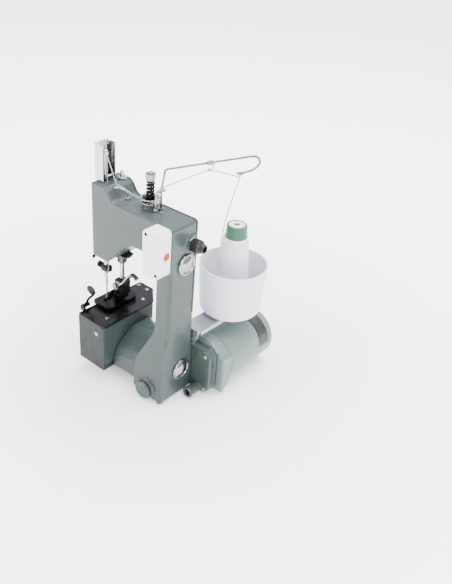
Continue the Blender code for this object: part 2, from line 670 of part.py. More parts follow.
def make_rocker():
    pivot = (ROCKER_X, ROCKER_Z)
    left = Vector(arm_point(ROCKER_LEFT))
    right = Vector(arm_point(ROCKER_RIGHT))
    rise = Vector((math.sin(math.radians(ROCKER_TILT)), math.cos(math.radians(ROCKER_TILT))))
    outline = [Vector(pivot) + rise * 9.0, right + rise * 4.5, *reversed(circle_points(right, 5.5, 7, -98,
                                                                                       82)),
               right - rise * 4.5, Vector(pivot) - rise * 9.0, left - rise * 6.5 + Vector((-2.4, 0.0)),
               left + rise * 6.5 + Vector((-2.4, 0.0))]
    arm = plate("rocker_arm", [outline], "Y", 20.7, 26.7, STEEL)
    join(arm,
         rod("rocker_hub_form", (ROCKER_X, 0, ROCKER_Z), "Y", 13.4, 36.0, 9.5, sides=24, tool=True),
         rod("rocker_pin_form", (right[0], 0, right[1]), "Y", 11.0, 24.0, 3.0, sides=16, tool=True))
    along = (right - left).normalized()
    across = Vector((-along[1], along[0]))
    slot_near = left + along * 3.0
    slot_far = left - along * 14.0
    half = 3.7
    slot = plate("rocker_slot_form", [[slot_near - across * half, slot_near + across * half,
                                       slot_far + across * half, slot_far - across * half]],
                 "Y", 10.0, 40.0, tool=True)
    cut(arm, rod("rocker_bore_form", (ROCKER_X, 0, ROCKER_Z), "Y", 0.0, 50.0, 4.0 + GAP, tool=True), slot,
        rod("slot_end_form", (slot_near[0], 0, slot_near[1]), "Y", 10.0, 40.0, half, tool=True))
    rod("rocker_shaft", (ROCKER_X, 0, ROCKER_Z), "Y", 2.9, COVER_FRONT - GAP, 4.0, STEEL, 20)


def crank_pin_slide_foot():
    """Where the connecting rod's upright slide starts: the crank pin's place."""
    pin = crank_pin_place()
    return (pin[0], 0, pin[1])


def crank_pin_place():
    angle = math.radians(CRANK_ANGLE)
    return (SHAFT_X + CRANK_THROW * math.cos(angle), SHAFT_Z + CRANK_THROW * math.sin(angle))


def make_connecting_rod():
    top = Vector(arm_point(ROCKER_RIGHT))
    low = Vector(crank_pin_place())
    along = (top - low).normalized()
    across = Vector((-along[1], along[0]))
    beam = plate("connecting_rod", [[low + across * 2.2, low - across * 2.2, top - across * 2.2,
                                     top + across * 2.2]], "Y", 12.5, 17.5, STEEL)
    join(beam,
         rod("small_end_form", (top[0], 0, top[1]), "Y", 12.0, 18.0, 6.3, sides=24, tool=True),
         rod("big_end_form", (low[0], 0, low[1]), "Y", 11.5, 18.5, 7.4, sides=24, tool=True))
    cut(beam,
        rod("small_end_bore_form", (top[0], 0, top[1]), "Y", 0.0, 30.0, 4.5, tool=True),
        rod("big_end_bore_form", (low[0], 0, low[1]), "Y", 0.0, 30.0, 4.8, tool=True))


# ---------------------------------------------------------------- main shaft and gears

def gear_outline(centre, teeth, turned_by=0.0):
    """Toothed outline with a generous tip and side clearance."""
    pitch = GEAR_MODULE * teeth / 2
    tip = pitch + 0.8
    root = pitch - 1.15
    step = 2 * math.pi / teeth
    outline = []
    for k in range(teeth):
        middle = k * step + turned_by
        for radius, share in ((root, -0.30), (tip, -0.13), (tip, 0.13), (root, 0.30)):
            angle = middle + share * step
            outline.append((centre[0] + radius * math.cos(angle), centre[1] + radius * math.sin(angle)))
    return outline


def make_shaft_and_gears():
    pin = crank_pin_place()
    shaft = rod("main_shaft", (SHAFT_X, 0, SHAFT_Z), "Y", 22.5, 62.5, 5.0, STEEL, 24)
    heavy = math.radians(CRANK_ANGLE + 180.0)
    balance = (SHAFT_X + 6.0 * math.cos(heavy), SHAFT_Z + 6.0 * math.sin(heavy))
    join(shaft,
         rod("crank_web_form", (SHAFT_X, 0, SHAFT_Z), "Y", 22.5, 27.5, 9.5, sides=24, tool=True),
         rod("crank_arm_form", (pin[0], 0, pin[1]), "Y", 22.3, 27.3, 5.0, sides=20, tool=True),
         rod("balance_form", (balance[0], 0, balance[1]), "Y", 22.7, 27.7, 8.6, sides=24, tool=True),
         rod("crank_pin_form", (pin[0], 0, pin[1]), "Y", 19.1, 25.0, 3.4, sides=16, tool=True))
    ring("main_bearing", (SHAFT_X, 0, SHAFT_Z), "Y", 33.0, 48.6, 8.0, 5.0 + GAP, BRASS, 24)
    gear = plate("main_gear", [gear_outline((SHAFT_X, SHAFT_Z), GEAR_TEETH),
                               circle_points((SHAFT_X, SHAFT_Z), 5.0 + GAP, 16)],
                 "Y", GEAR_FRONT, GEAR_BACK, NYLON)
    join(gear, ring("gear_hub_form", (SHAFT_X, 0, SHAFT_Z), "Y", 49.4, 61.5, 9.0, 5.0 + GAP, steps=16,
                    tool=True))
    toward = math.atan2(SHAFT_Z - MOTOR_Z, SHAFT_X - MOTOR_X)
    main_step = 2 * math.pi / GEAR_TEETH
    nearest = round((toward + math.pi) / main_step) * main_step
    lag = (toward + math.pi - nearest) * GEAR_TEETH / PINION_TEETH
    pinion_turn = toward + lag + math.pi / PINION_TEETH
    plate("motor_pinion", [gear_outline((MOTOR_X, MOTOR_Z), PINION_TEETH, pinion_turn),
                           circle_points((MOTOR_X, MOTOR_Z), 3.0 + GAP, 12)],
          "Y", GEAR_FRONT - 1.0, GEAR_BACK + 1.0, STEEL)


def housing_outline(inset=0.0):
    return rounded([
        (-46.0 + inset, 5.0 + inset, max(10.0 - inset, 2.0)),
        (24.0 - inset, 2.0 + inset, max(8.0 - inset, 2.0)),
        (31.5 - inset, 14.0, 6.0),
        (30.5 - inset, 58.0, 6.0),
        (24.0 - inset, 67.0 - inset, max(7.0 - inset, 2.0)),
        (-38.0 + inset, 67.0 - inset, max(12.0 - inset, 2.0)),
        (-46.0 + inset, 56.0, 8.0),
    ], 3)


def make_gear_housing():
    front = plate("gear_housing_front", [housing_outline()], "Y", FOOT_BACK + GAP, HOUSING_SPLIT, ENAMEL)
    cut(front, plate("front_hollow_form", [housing_outline(3.2)], "Y", FOOT_BACK + 3.8, 80.0, tool=True))
    shaft_boss = rod("bearing_boss_form", (SHAFT_X, 0, SHAFT_Z), "Y", 33.5, 49.0, 11.5, sides=28, tool=True)
    lug = rod("tube_lug_form", LUG_CENTRE, "Y", 25.5, 46.0, 6.6, sides=24, tool=True)
    join(front, shaft_boss, lug)
    cut(front,
        rod("bearing_bore_form", (SHAFT_X, 0, SHAFT_Z), "Y", 20.0, 60.0, 8.0 + GAP, sides=28, tool=True),
        rod("lug_bore_form", LUG_CENTRE, "Y", 10.0, 40.0, 4.4, sides=20, tool=True))
    rear = plate("gear_housing_rear", [housing_outline()], "Y", HOUSING_SPLIT + GAP, 66.0, ENAMEL)
    neck = turned("motor_neck_form", (MOTOR_X, 0, MOTOR_Z), "Y",
                  [(0.0, 76.0), (35.6, 76.0), (35.6, 70.0), (33.0, 60.0), (0.0, 60.0)], steps=32, tool=True)
    join(rear, neck)
    cut(rear,
        plate("rear_hollow_form", [housing_outline(3.2)], "Y", 50.0, 62.8, tool=True),
        rod("neck_hollow_form", (MOTOR_X, 0, MOTOR_Z), "Y", 60.0, 72.5, 26.0, sides=32, tool=True),
        rod("motor_bearing_bore_form", (MOTOR_X, 0, MOTOR_Z), "Y", 60.0, 90.0, 3.0 + GAP, tool=True),
        box("ground_form", (-60.0, 50.0, -10.0), (50.0, 90.0, 2.4), tool=True))


def make_motor():
    centre = (MOTOR_X, 0, MOTOR_Z)
    shell_end = MOTOR_BACK - 7.0
    turned("motor_shell", centre, "Y",
           [(MOTOR_RADIUS, shell_end), (MOTOR_RADIUS, MOTOR_FRONT), (MOTOR_RADIUS - 2.5, MOTOR_FRONT),
            (MOTOR_RADIUS - 2.5, shell_end)], MOTOR_PAINT, 36)
    cap = turned("motor_end_cap", centre, "Y",
                 [(0.0, MOTOR_BACK), (MOTOR_RADIUS - 4.0, MOTOR_BACK),
                  (MOTOR_RADIUS - 0.6, MOTOR_BACK - 2.4),
                  (MOTOR_RADIUS, MOTOR_BACK - 5.0), (MOTOR_RADIUS, shell_end + GAP),
                  (MOTOR_RADIUS - 4.5, shell_end + GAP), (MOTOR_RADIUS - 4.5, MOTOR_BACK - 3.5),
                  (9.0, MOTOR_BACK - 3.5), (9.0, shell_end - 3.0), (3.0 + GAP, shell_end - 3.0),
                  (3.0 + GAP, MOTOR_BACK - 2.5), (0.0, MOTOR_BACK - 2.5)], MOTOR_PAINT, 24)
    for k in range(6):
        angle = 2 * math.pi * k / 6
        spot = (MOTOR_X + 20.0 * math.cos(angle), 0, MOTOR_Z + 20.0 * math.sin(angle))
        cut(cap, rod("vent_form_%d" % k, spot, "Y", MOTOR_BACK - 8.0, MOTOR_BACK + 5.0, 3.4, sides=8,
                     tool=True))
    ring("motor_stator", centre, "Y", 88.0, 136.0, MOTOR_RADIUS - 2.5 - GAP, 20.0, COPPER, 28)
    turned("motor_rotor", centre, "Y",
           [(0.0, MOTOR_BACK - 3.2), (3.0, MOTOR_BACK - 3.2), (3.0, 148.0), (10.0, 148.0), (10.0, 140.0),
            (18.8, 138.0), (18.8, 86.0), (12.0, 84.0), (3.0, 84.0), (3.0, 50.8), (0.0, 50.8)], STEEL, 18)
    support = box("motor_support_pad", (MOTOR_X - 11.0, 128.0, 0.0), (MOTOR_X + 11.0, 146.0, 7.5), RUBBER,
                  bevel=1.0)
    cut(support, rod("support_saddle_form", centre, "Y", 100.0, 170.0, MOTOR_RADIUS + GAP, sides=96,
                     tool=True))


# ---------------------------------------------------------------- presser foot

def make_presser():
    centre = (PRESSER_X, PRESSER_Y, 0)
    bar = rod("presser_bar", centre, "Z", 109.0, 236.0, BAR_RADIUS, CHROME, 20)
    join(bar, rod("presser_collar_form", centre, "Z", 198.0, 205.0, 5.4, tool=True))
    turned("presser_bar_bush", centre, "Z",
           [(5.6, 180.0), (5.6, 157.0), (6.4, 157.0), (6.4, 142.0), (BAR_RADIUS + GAP, 142.0),
            (BAR_RADIUS + GAP, 180.0)], DARK_STEEL, 22)
    tube("presser_spring", helix((PRESSER_X, PRESSER_Y), 4.6, 206.0, 242.6, 8.0, 8), 0.7, STEEL, 0)
    turned("pressure_adjuster", centre, "Z",
           [(0.0, 263.0), (2.0, 263.0), (2.8, 262.2), (2.8, 256.6), (5.6, 256.2), (5.6, HEAD_TOP + GAP),
            (4.5, HEAD_TOP + GAP), (4.5, 246.6), (0.0, 246.6)], CHROME, 20)
    holder = box("presser_holder", (-119.5, 26.5, 96.0), (-104.5, 41.0, 116.0), DARK_STEEL, bevel=1.2)
    join(holder,
         box("holder_arm_form", (-118.0, 24.0, 90.5), (-106.0, 39.0, 97.0), bevel=0.8, tool=True),
         rod("lever_pin_form", (PRESSER_X, 0, LEVER_PIN_Z), "Y", 19.4, 30.0, 2.5, sides=16, tool=True))
    cut(holder, rod("holder_bore_form", centre, "Z", 108.6, 130.0, BAR_RADIUS + GAP, tool=True))
    sole_outline = rounded([(-135.0, 6.0, 4.0), (-132.0, 2.0, 3.0), (-108.0, 2.0, 3.0), (-104.0, 8.0, 4.0),
                            (-103.0, 52.0, 5.0), (-131.0, 56.0, 6.0), (-135.0, 46.0, 5.0)], 3)
    needle_slot = rounded([(-125.0, 11.0, 2.0), (-119.5, 11.0, 2.0), (-119.5, 23.0, 2.0),
                           (-125.0, 23.0, 2.0)], 2)
    sole = plate("presser_sole", [sole_outline, needle_slot], "Z", 84.4, 87.4, DARK_STEEL)
    join(sole,
         box("sole_lug_form", (-122.0, 28.0, 86.0), (-118.6, 37.0, 95.5), bevel=0.6, tool=True),
         box("sole_guard_form", (-129.0, 25.0, 86.0), (-126.0, 50.0, 93.0), bevel=0.8, tool=True))
    lever_path = smooth_route([
        (PRESSER_X, 23.1, LEVER_PIN_Z), (-106.0, 23.1, 113.5), (-99.5, 23.1, 119.0), (-93.5, 23.1, 127.5),
        (-88.0, 23.1, 134.5), (-81.5, 23.1, 138.2), (-75.5, 23.1, 136.0)], 3)
    lever = tube("lifter_lever", lever_path, 2.2, CHROME, 2)
    join(lever, rod("lever_eye_form", (PRESSER_X, 0, LEVER_PIN_Z), "Y", 20.7, 25.5, 5.0, sides=20,
                    tool=True))
    cut(lever, rod("lever_bore_form", (PRESSER_X, 0, LEVER_PIN_Z), "Y", 15.0, 30.0, 2.5 + GAP, sides=16,
                   tool=True))


def make_cutter():
    lever = tube("cutter_lever", smooth_route([
        (-134.2, -8.0, 84.6), (-133.9, -7.4, 90.0), (-132.0, -4.6, 95.0), (-129.4, -1.6, 98.6),
        (-128.2, -0.4, 101.0)], 4), 1.6, DARK_STEEL, 1)
    form = bmesh.new()
    bmesh.ops.create_uvsphere(form, u_segments=12, v_segments=8, radius=1.0)
    bmesh.ops.scale(form, vec=Vector(PADDLE_HALF) * MM, verts=form.verts)
    paddle = add_object("paddle_form", mesh_from(form, "paddle_form"), None, True)
    long_way = Vector(PADDLE_LONG).normalized()
    thin_way = Vector(PADDLE_THIN).cross(long_way).cross(long_way).normalized() * -1.0
    wide_way = long_way.cross(thin_way)
    turn = Matrix((thin_way, wide_way, long_way)).transposed().to_4x4()
    paddle.matrix_world = Matrix.Translation(Vector(PADDLE_CENTRE) * MM) @ turn
    join(lever, paddle,
         rod("cutter_hub_form", (CUTTER_X, 0, CUTTER_Z), "Y", -12.0, -4.5, 2.8, sides=16, tool=True))
    cut(lever, rod("cutter_bore_form", (CUTTER_X, 0, CUTTER_Z), "Y", -20.0, 5.0, 1.3 + GAP, sides=12,
                   tool=True))


# ---------------------------------------------------------------- looper and feed

def make_looper_and_feed():
    shaft = rod("looper_shaft", (0, LOOPER_Y, LOOPER_Z), "X", -117.0, -38.5, 4.0, STEEL, 20)
    join(shaft, rod("shaft_collar_form", (0, LOOPER_Y, LOOPER_Z), "X", -100.0, -94.0, 6.5, tool=True))
    hub = ring("looper", (0, LOOPER_Y, LOOPER_Z), "X", -116.5, -108.0, 7.0, 4.0 + GAP, STEEL, 20)
    hook = tube("looper_hook_form", smooth_route([
        (-112.0, LOOPER_Y + 5.0, LOOPER_Z + 2.0), (-113.5, LOOPER_Y + 9.0, 60.0),
        (-116.0, LOOPER_Y + 8.0, 68.0),
        (-117.3, LOOPER_Y + 3.0, 71.5), (-117.6, LOOPER_Y - 4.5, 70.5)], 3), 1.3, None, 1)
    join(hub, as_tool(hook))
    dog = box("feed_dog", (-119.4, 8.0, 76.0), (-115.4, 44.0, 82.9), STEEL)
    join(dog, box("feed_bar_form", (-119.8, 10.0, 72.9), (-110.4, 56.0, 77.6), tool=True))
    for k in range(8):
        low = 9.5 + 4.3 * k
        notch = box("feed_notch_form_%d" % k, (-121.0, low, 82.2), (-114.0, low + 2.0, 84.0), tool=True)
        cut(dog, notch)


# ---------------------------------------------------------------- switch box and cable gland

def switch_outline(inset=0.0):
    return rounded([
        (-25.4 + inset, 183.3 + inset, 4.5 - inset), (-0.9 - inset, 183.3 + inset, 4.5 - inset),
        (-0.9 - inset, 239.0 - inset, 4.5 - inset), (-25.4 + inset, 239.0 - inset, 4.5 - inset)], 4)


def make_switch():
    body = plate("switch_box", [switch_outline()], "Y", -19.1, -GAP, WHITE_PLASTIC, bevel=1.2)
    cut(body,
        plate("switch_hollow_form", [switch_outline(2.0)], "Y", -17.1, 5.0, tool=True),
        rod("button_hole_form", BUTTON_CENTRE, "X", -10.0, 5.0, 4.2 + GAP, tool=True))
    turned("switch_button", BUTTON_CENTRE, "X",
           [(0.0, 2.3), (3.2, 2.0), (4.1, 1.0), (4.2, 0.0), (4.2, -4.6), (2.0, -4.6), (2.0, -6.5),
            (0.0, -6.5)],
           RED_PLASTIC, 18)


def make_gland():
    centre = (0, GLAND_Y, GLAND_Z)
    turned("cable_gland", centre, "X",
           [(4.4, 22.0), (5.2, 21.2), (5.2, 14.5), (6.8, 13.8), (7.2, 12.6), (7.2, 4.4), (8.0, 4.4),
            (8.0, 1.7 + GAP), (3.6, 1.7 + GAP), (3.6, 22.0)], BLACK_PLASTIC, 20)


# ---------------------------------------------------------------- thread stand

def make_thread_stand():
    top = BRACKET_TOP
    bracket = plate("cup_bracket", [rounded([
        (-15.5, 45.5, 1.0), (9.0, 45.5, 1.0), (13.5, 128.0, 10.0), (-13.5, 128.0, 10.0)], 3)],
        "Z", top - 2.4, top, SHEET_METAL)
    lip = plate("bracket_leg_form", [rounded([
        (-15.5, top, 0.0), (-15.5, 71.0, 3.0), (5.0, 71.0, 4.0), (9.0, 80.0, 3.0), (9.0, top, 0.0)], 3)],
        "Y", DEPTH + GAP, FOOT_BACK, tool=True)
    join(bracket, lip,
         box("bracket_bend_form", (-15.4, DEPTH + GAP + 0.1, 84.0), (8.9, 47.0, top - 0.1), tool=True))
    cut(bracket,
        box("bracket_hollow_form", (-30.0, FOOT_BACK, 60.0), (30.0, 47.6, top - 2.4), tool=True),
        rod("peg_hole_form", (CUP_X, CUP_Y, 0), "Z", 80.0, 100.0, 3.0 + GAP, tool=True))


def make_cup():
    wall = 1.6
    rise = CUP_TOP - CUP_BOTTOM
    lean = (CUP_RADIUS - CUP_FOOT_RADIUS) / rise
    profile = [(CUP_RADIUS, CUP_TOP), (CUP_FOOT_RADIUS + lean * 6.0, CUP_BOTTOM + 6.0),
               (CUP_FOOT_RADIUS - 1.0, CUP_BOTTOM + 2.0), (CUP_FOOT_RADIUS - 4.5, CUP_BOTTOM),
               (3.0 + GAP, CUP_BOTTOM), (3.0 + GAP, CUP_BOTTOM + wall),
               (CUP_FOOT_RADIUS - 5.0, CUP_BOTTOM + wall), (CUP_FOOT_RADIUS - 2.4, CUP_BOTTOM + 3.0),
               (CUP_FOOT_RADIUS + lean * 6.0 - wall, CUP_BOTTOM + 6.5), (CUP_RADIUS - wall, CUP_TOP)]
    turned("thread_cup", (CUP_X, CUP_Y, 0), "Z", profile, CUP_PLASTIC, 28)
    peg_low = 82.0
    turned("cone_peg", (CUP_X, CUP_Y, 0), "Z",
           [(0.0, 176.0), (2.0, 175.0), (3.0, 172.0), (3.0, CUP_BOTTOM + wall + 3.0),
            (7.0, CUP_BOTTOM + wall + 2.6),
            (7.0, CUP_BOTTOM + wall + GAP), (3.0, CUP_BOTTOM + wall + GAP), (3.0, top_of_nut()),
            (6.0, top_of_nut()),
            (6.0, peg_low), (0.0, peg_low)], STEEL, 14)
    turned("cone_tube", (CUP_X, CUP_Y, 0), "Z",
           [(11.4, CONE_TOP), (11.9, CONE_TOP - 1.0), (12.2, CONE_TOP - 3.0), (13.2, 190.5), (17.3, 97.0),
            (16.3, 97.0), (10.2, CONE_TOP - 1.6), (3.4, CONE_TOP - 1.6), (3.4, CONE_TOP)], CONE_PAPER, 20)
    turned("thread_cone", (CUP_X, CUP_Y, 0), "Z",
           [(13.7, 191.5), (15.2, 189.5), (16.6, 175.0), (22.6, 101.0), (21.0, 98.6), (17.3 + GAP, 98.6),
            (13.2 + GAP, 191.5)], YARN, 24)


def top_of_nut():
    """Under side of the bracket, less the gap, where the peg's nut sits."""
    return BRACKET_TOP - 2.4 - GAP


# ---------------------------------------------------------------- tension unit, guides and thread

def make_tension():
    centre = (TENSION_X, TENSION_Y, 0)
    rod("tension_post", centre, "Z", 235.5, 281.0, 2.4, STEEL, 16)
    disc = [(11.4, 1.9), (11.4, 1.4), (6.5, 0.4), (5.0, 0.0), (2.4 + GAP, 0.0), (2.4 + GAP, 0.8),
            (5.0, 0.8),
            (6.3, 1.2), (10.9, 2.2), (11.2, 2.3)]
    low = BOSS_TOP + GAP
    turned("tension_disc_lower", centre, "Z", [(radius, low + 2.3 - height) for radius,
                                               height in reversed(disc)],
           CHROME, 22)
    turned("tension_disc_upper", centre, "Z", [(radius, low + 3.4 + height) for radius, height in disc],
           CHROME, 22)
    tube("tension_spring", helix((TENSION_X, TENSION_Y), 3.6, low + 6.6, 268.6, 6.5, 8), 0.8, DARK_STEEL, 0)
    turned("tension_nut", centre, "Z",
           [(5.6, 278.6), (5.9, 277.8), (5.9, 273.6), (5.2, 273.0), (4.4, 272.6), (2.4 + GAP, 272.6),
            (2.4 + GAP, 278.6)], CHROME, 22)


def guide_point(share, z, side=0.0):
    """Place in the upright plane of the long wire guide, 0 at its post and 1 at its far bend."""
    along = Vector((GUIDE_END[0] - GUIDE_BASE[0], GUIDE_END[1] - GUIDE_BASE[1]))
    across = Vector((along[1], -along[0])).normalized() * side
    return (GUIDE_BASE[0] + along[0] * share + across[0], GUIDE_BASE[1] + along[1] * share + across[1], z)


def make_wire_guides():
    base = GUIDE_BASE
    loop = [guide_point(1.0, WIRE_TOP), guide_point(1.07, WIRE_TOP - 0.6),
            guide_point(1.125, WIRE_TOP - 3.8),
            guide_point(1.145, WIRE_TOP - 9.0), guide_point(1.115, WIRE_TOP - 14.2),
            guide_point(1.05, WIRE_TOP - 17.2), guide_point(0.965, WIRE_TOP - 18.4),
            guide_point(0.90, WIRE_TOP - 18.4), guide_point(0.87, WIRE_TOP - 17.2, 2.0),
            guide_point(0.88, WIRE_TOP - 17.0, 4.2), guide_point(0.915, WIRE_TOP - 17.6, 4.0),
            guide_point(0.925, WIRE_TOP - 18.0, 2.4)]
    route = smooth_route([(base[0], base[1], 236.0), (base[0], base[1], 262.0)], 2)
    route += smooth_route([(base[0] + 0.6, base[1] + 0.4, 268.0),
                           (base[0] + 2.4, base[1] + 2.0, WIRE_TOP - 3.0),
                           guide_point(0.05, WIRE_TOP - 0.3), guide_point(0.12, WIRE_TOP)], 3)
    route += [guide_point(share, WIRE_TOP) for share in (0.3, 0.5, 0.7, 0.85)]
    route += smooth_route(loop, 3)
    tube("wire_guide", route, 1.3, CHROME, 1)
    tube("pin_guide", smooth_route([
        PIN_BASE + (236.0,), PIN_BASE + (248.0,), (-44.5, 20.0, 256.0), (-46.5, 23.0, 260.6),
        (-46.0, 27.5, 262.5), (-43.6, 30.5, 262.9), (-42.6, 32.6, 261.2), (-44.6, 32.8, 259.6),
        (-47.6, 30.0, 258.7), (-49.6, 27.2, 257.6)], 3), 0.9, STEEL, 1)
    tube("arm_eyelet", smooth_route([
        EYELET_BASE + (236.0,), EYELET_BASE + (243.0,), (-90.3, 19.5, 248.0), (-93.5, 16.8, 250.4),
        (-98.0, 14.2, 251.5), (-100.8, 11.3, 252.6), (-98.6, 8.6, 253.3), (-95.4, 10.0, 253.6),
        (-95.6, 13.4, 254.0), (-98.2, 15.4, 254.4)], 3), 0.8, STEEL, 1)


def make_thread():
    eyelet = (-98.2, 11.4, 256.2)
    disc_height = BOSS_TOP + GAP + 2.85
    route = [(CUP_X - 9.2, CUP_Y - 16.5, 176.0), (CUP_X - 9.4, CUP_Y - 15.0, 195.0),
             (CUP_X - 6.5, CUP_Y - 9.0, 232.0), guide_point(0.905, WIRE_TOP - 21.0, 2.2),
             guide_point(0.86, WIRE_TOP - 20.6, 2.0), guide_point(0.56, WIRE_TOP - 9.2),
             guide_point(0.50, WIRE_TOP - 9.3), (-44.8, 34.4, 263.9), (-46.6, 30.2, 260.4),
             (-45.4, 20.4, disc_height + 2.6), (-49.6, 19.8, disc_height + 0.4),
             (-54.0, 20.2, disc_height), (-61.0, 20.6, disc_height),
             (-71.5, 17.0, disc_height + 0.8), (-90.0, 13.2, 254.6), eyelet]
    tube("thread_feed", smooth_route(route, 3), THREAD_RADIUS, YARN, 0)
    start = Vector(eyelet) + Vector((-0.6, 0.15, 0.5))
    end = Vector((NEEDLE_X + 8.9, NEEDLE_Y - 4.6, 286.2))
    tube("thread_take_up", [start.lerp(end, k / 6) for k in range(7)], THREAD_RADIUS, YARN, 0)
    line_x, line_y, _ = THREAD_LINE
    tube("needle_thread", [(line_x, line_y, 286.0 - 147.0 * k / 10) for k in range(11)]
         + smooth_route([(line_x, line_y - 0.6, 136.0), (line_x - 4.0, line_y - 3.2, 130.0),
                         (NEEDLE_X + 1.3, NEEDLE_Y - 2.2, 118.0), (NEEDLE_X + 0.7, NEEDLE_Y - 1.5, 92.0)],
                         3),
         THREAD_RADIUS, YARN, 0)


# ---------------------------------------------------------------- assembly

def add_pivot(name, place, members):
    """Empty on a joint's axis that carries the pieces that move together."""
    pivot = bpy.data.objects.new(name, None)
    PIVOTS.objects.link(pivot)
    pivot.location = Vector(place) * MM
    for member in members:
        piece = bpy.data.objects[member]
        piece.parent = pivot
        piece.matrix_parent_inverse = Matrix.Translation(-pivot.location)


def make_pivots():
    add_pivot("main_drive_pivot", (SHAFT_X, 0, SHAFT_Z), ["main_shaft", "main_gear"])
    add_pivot("armature_pivot", (MOTOR_X, 0, MOTOR_Z), ["motor_rotor", "motor_pinion"])
    add_pivot("rocker_pivot", (ROCKER_X, 0, ROCKER_Z), ["rocker_arm"])
    add_pivot("rod_slide", crank_pin_slide_foot(), ["connecting_rod"])
    add_pivot("needle_slide", (NEEDLE_X, NEEDLE_Y, 0), ["needle_bar", "needle_clamp", "needle",
                                                        "needle_thread"])
    add_pivot("clamp_screw_pivot", (0, NEEDLE_Y, CLAMP_Z), ["needle_clamp_screw"])
    add_pivot("presser_slide", (PRESSER_X, PRESSER_Y, 0), ["presser_bar", "presser_holder", "presser_sole"])
    add_pivot("lifter_pivot", (PRESSER_X, 0, LEVER_PIN_Z), ["lifter_lever"])
    add_pivot("looper_pivot", (0, LOOPER_Y, LOOPER_Z), ["looper_shaft", "looper"])
    add_pivot("feed_slide", (NEEDLE_X, LOOPER_Y, PLATE_TOP), ["feed_dog"])
    add_pivot("cutter_pivot", (CUTTER_X, 0, CUTTER_Z), ["cutter_lever"])
    add_pivot("button_slide", BUTTON_CENTRE, ["switch_button"])
    add_pivot("tension_nut_pivot", (TENSION_X, TENSION_Y, 0), ["tension_nut"])
    add_pivot("pressure_adjuster_pivot", (PRESSER_X, PRESSER_Y, 0), ["pressure_adjuster"])


def centre_assembly():
    """Parent everything to one empty that puts the world origin under the middle of the outline."""
    stand = bpy.data.objects.new("machine_stand", None)
    loose = [item for item in bpy.data.objects if item.parent is None]
    PIVOTS.objects.link(stand)
    stand.location = Vector(STAND_SHIFT) * MM
    for item in loose:
        if item is not stand:
            item.parent = stand


make_frame()
make_cover_and_plugs()
make_front_foot()
make_base_box()
make_throat_plate()
make_guard()
make_needle_drive()
make_rocker()
make_connecting_rod()
make_shaft_and_gears()
make_gear_housing()
make_motor()
make_presser()
make_cutter()
make_looper_and_feed()
make_switch()
make_gland()
make_thread_stand()
make_cup()
make_tension()
make_wire_guides()
make_thread()
make_pivots()
centre_assembly()
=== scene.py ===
import math

import bmesh
import bpy
from mathutils import Matrix, Vector


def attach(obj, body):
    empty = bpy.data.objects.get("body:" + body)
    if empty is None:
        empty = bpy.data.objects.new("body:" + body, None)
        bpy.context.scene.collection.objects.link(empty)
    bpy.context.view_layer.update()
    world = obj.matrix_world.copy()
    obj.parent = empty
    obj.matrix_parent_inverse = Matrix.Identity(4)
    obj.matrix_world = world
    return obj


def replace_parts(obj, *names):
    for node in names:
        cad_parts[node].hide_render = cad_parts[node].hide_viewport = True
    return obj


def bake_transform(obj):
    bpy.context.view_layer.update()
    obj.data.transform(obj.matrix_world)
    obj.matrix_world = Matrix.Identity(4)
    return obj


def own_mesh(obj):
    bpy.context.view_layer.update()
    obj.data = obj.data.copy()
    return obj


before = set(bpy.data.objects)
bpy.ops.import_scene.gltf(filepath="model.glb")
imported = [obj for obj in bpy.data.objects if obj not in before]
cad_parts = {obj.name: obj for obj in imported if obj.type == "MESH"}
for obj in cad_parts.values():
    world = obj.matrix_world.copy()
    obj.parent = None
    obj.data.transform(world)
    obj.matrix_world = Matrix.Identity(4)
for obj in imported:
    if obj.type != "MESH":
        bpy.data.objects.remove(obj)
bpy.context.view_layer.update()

# Lengths are in millimetres from the column's front right edge, as in the CAD source; at() turns them into
# metres in the frame. X runs along the arm, Y along the motor, Z is up.
MM = 0.001
ORIGIN = Vector((47.35, -68.9, 0.0))
GAP = 0.3
AXIS_MATRIX = {
    "X": Matrix(((0, 0, 1), (1, 0, 0), (0, 1, 0))),
    "Y": Matrix(((1, 0, 0), (0, 0, 1), (0, -1, 0))),
    "Z": Matrix.Identity(3),
}
OUTLINE_MATRIX = {
    "X": Matrix(((0, 0, 1), (1, 0, 0), (0, 1, 0))),
    "Y": Matrix(((1, 0, 0), (0, 0, -1), (0, 1, 0))),
    "Z": Matrix.Identity(3),
}


def at(x, y, z):
    return (Vector((x, y, z)) + ORIGIN) * MM


# ---------------------------------------------------------------- camera, floor and light

def make_camera():
    data = bpy.data.cameras.new("view")
    camera = bpy.data.objects.new("view", data)
    bpy.context.scene.collection.objects.link(camera)
    right = Vector((0.7314, 0.6810, 0.0371)).normalized()
    back = Vector((0.5652, -0.6357, 0.5258)).normalized()
    up = back.cross(right).normalized()
    right = up.cross(back)
    camera.matrix_world = Matrix.Translation(at(433.4, -483.8, 575.4)) @ Matrix((
        (right.x, up.x, back.x, 0.0), (right.y, up.y, back.y, 0.0), (right.z, up.z, back.z, 0.0), (0, 0, 0, 1)))
    data.sensor_width = 36.0
    data.lens = 42.68
    data.shift_x = 0.0915
    data.shift_y = -0.0148
    bpy.context.scene.camera = camera


def area_light(name, place, target, size, energy, colour=(1.0, 1.0, 1.0)):
    data = bpy.data.lights.new(name, "AREA")
    data.shape = "RECTANGLE"
    data.size = size[0]
    data.size_y = size[1]
    data.energy = energy
    data.color = colour
    light = bpy.data.objects.new(name, data)
    bpy.context.scene.collection.objects.link(light)
    light.location = place
    light.rotation_euler = (Vector(target) - Vector(place)).to_track_quat("-Z", "Y").to_euler()


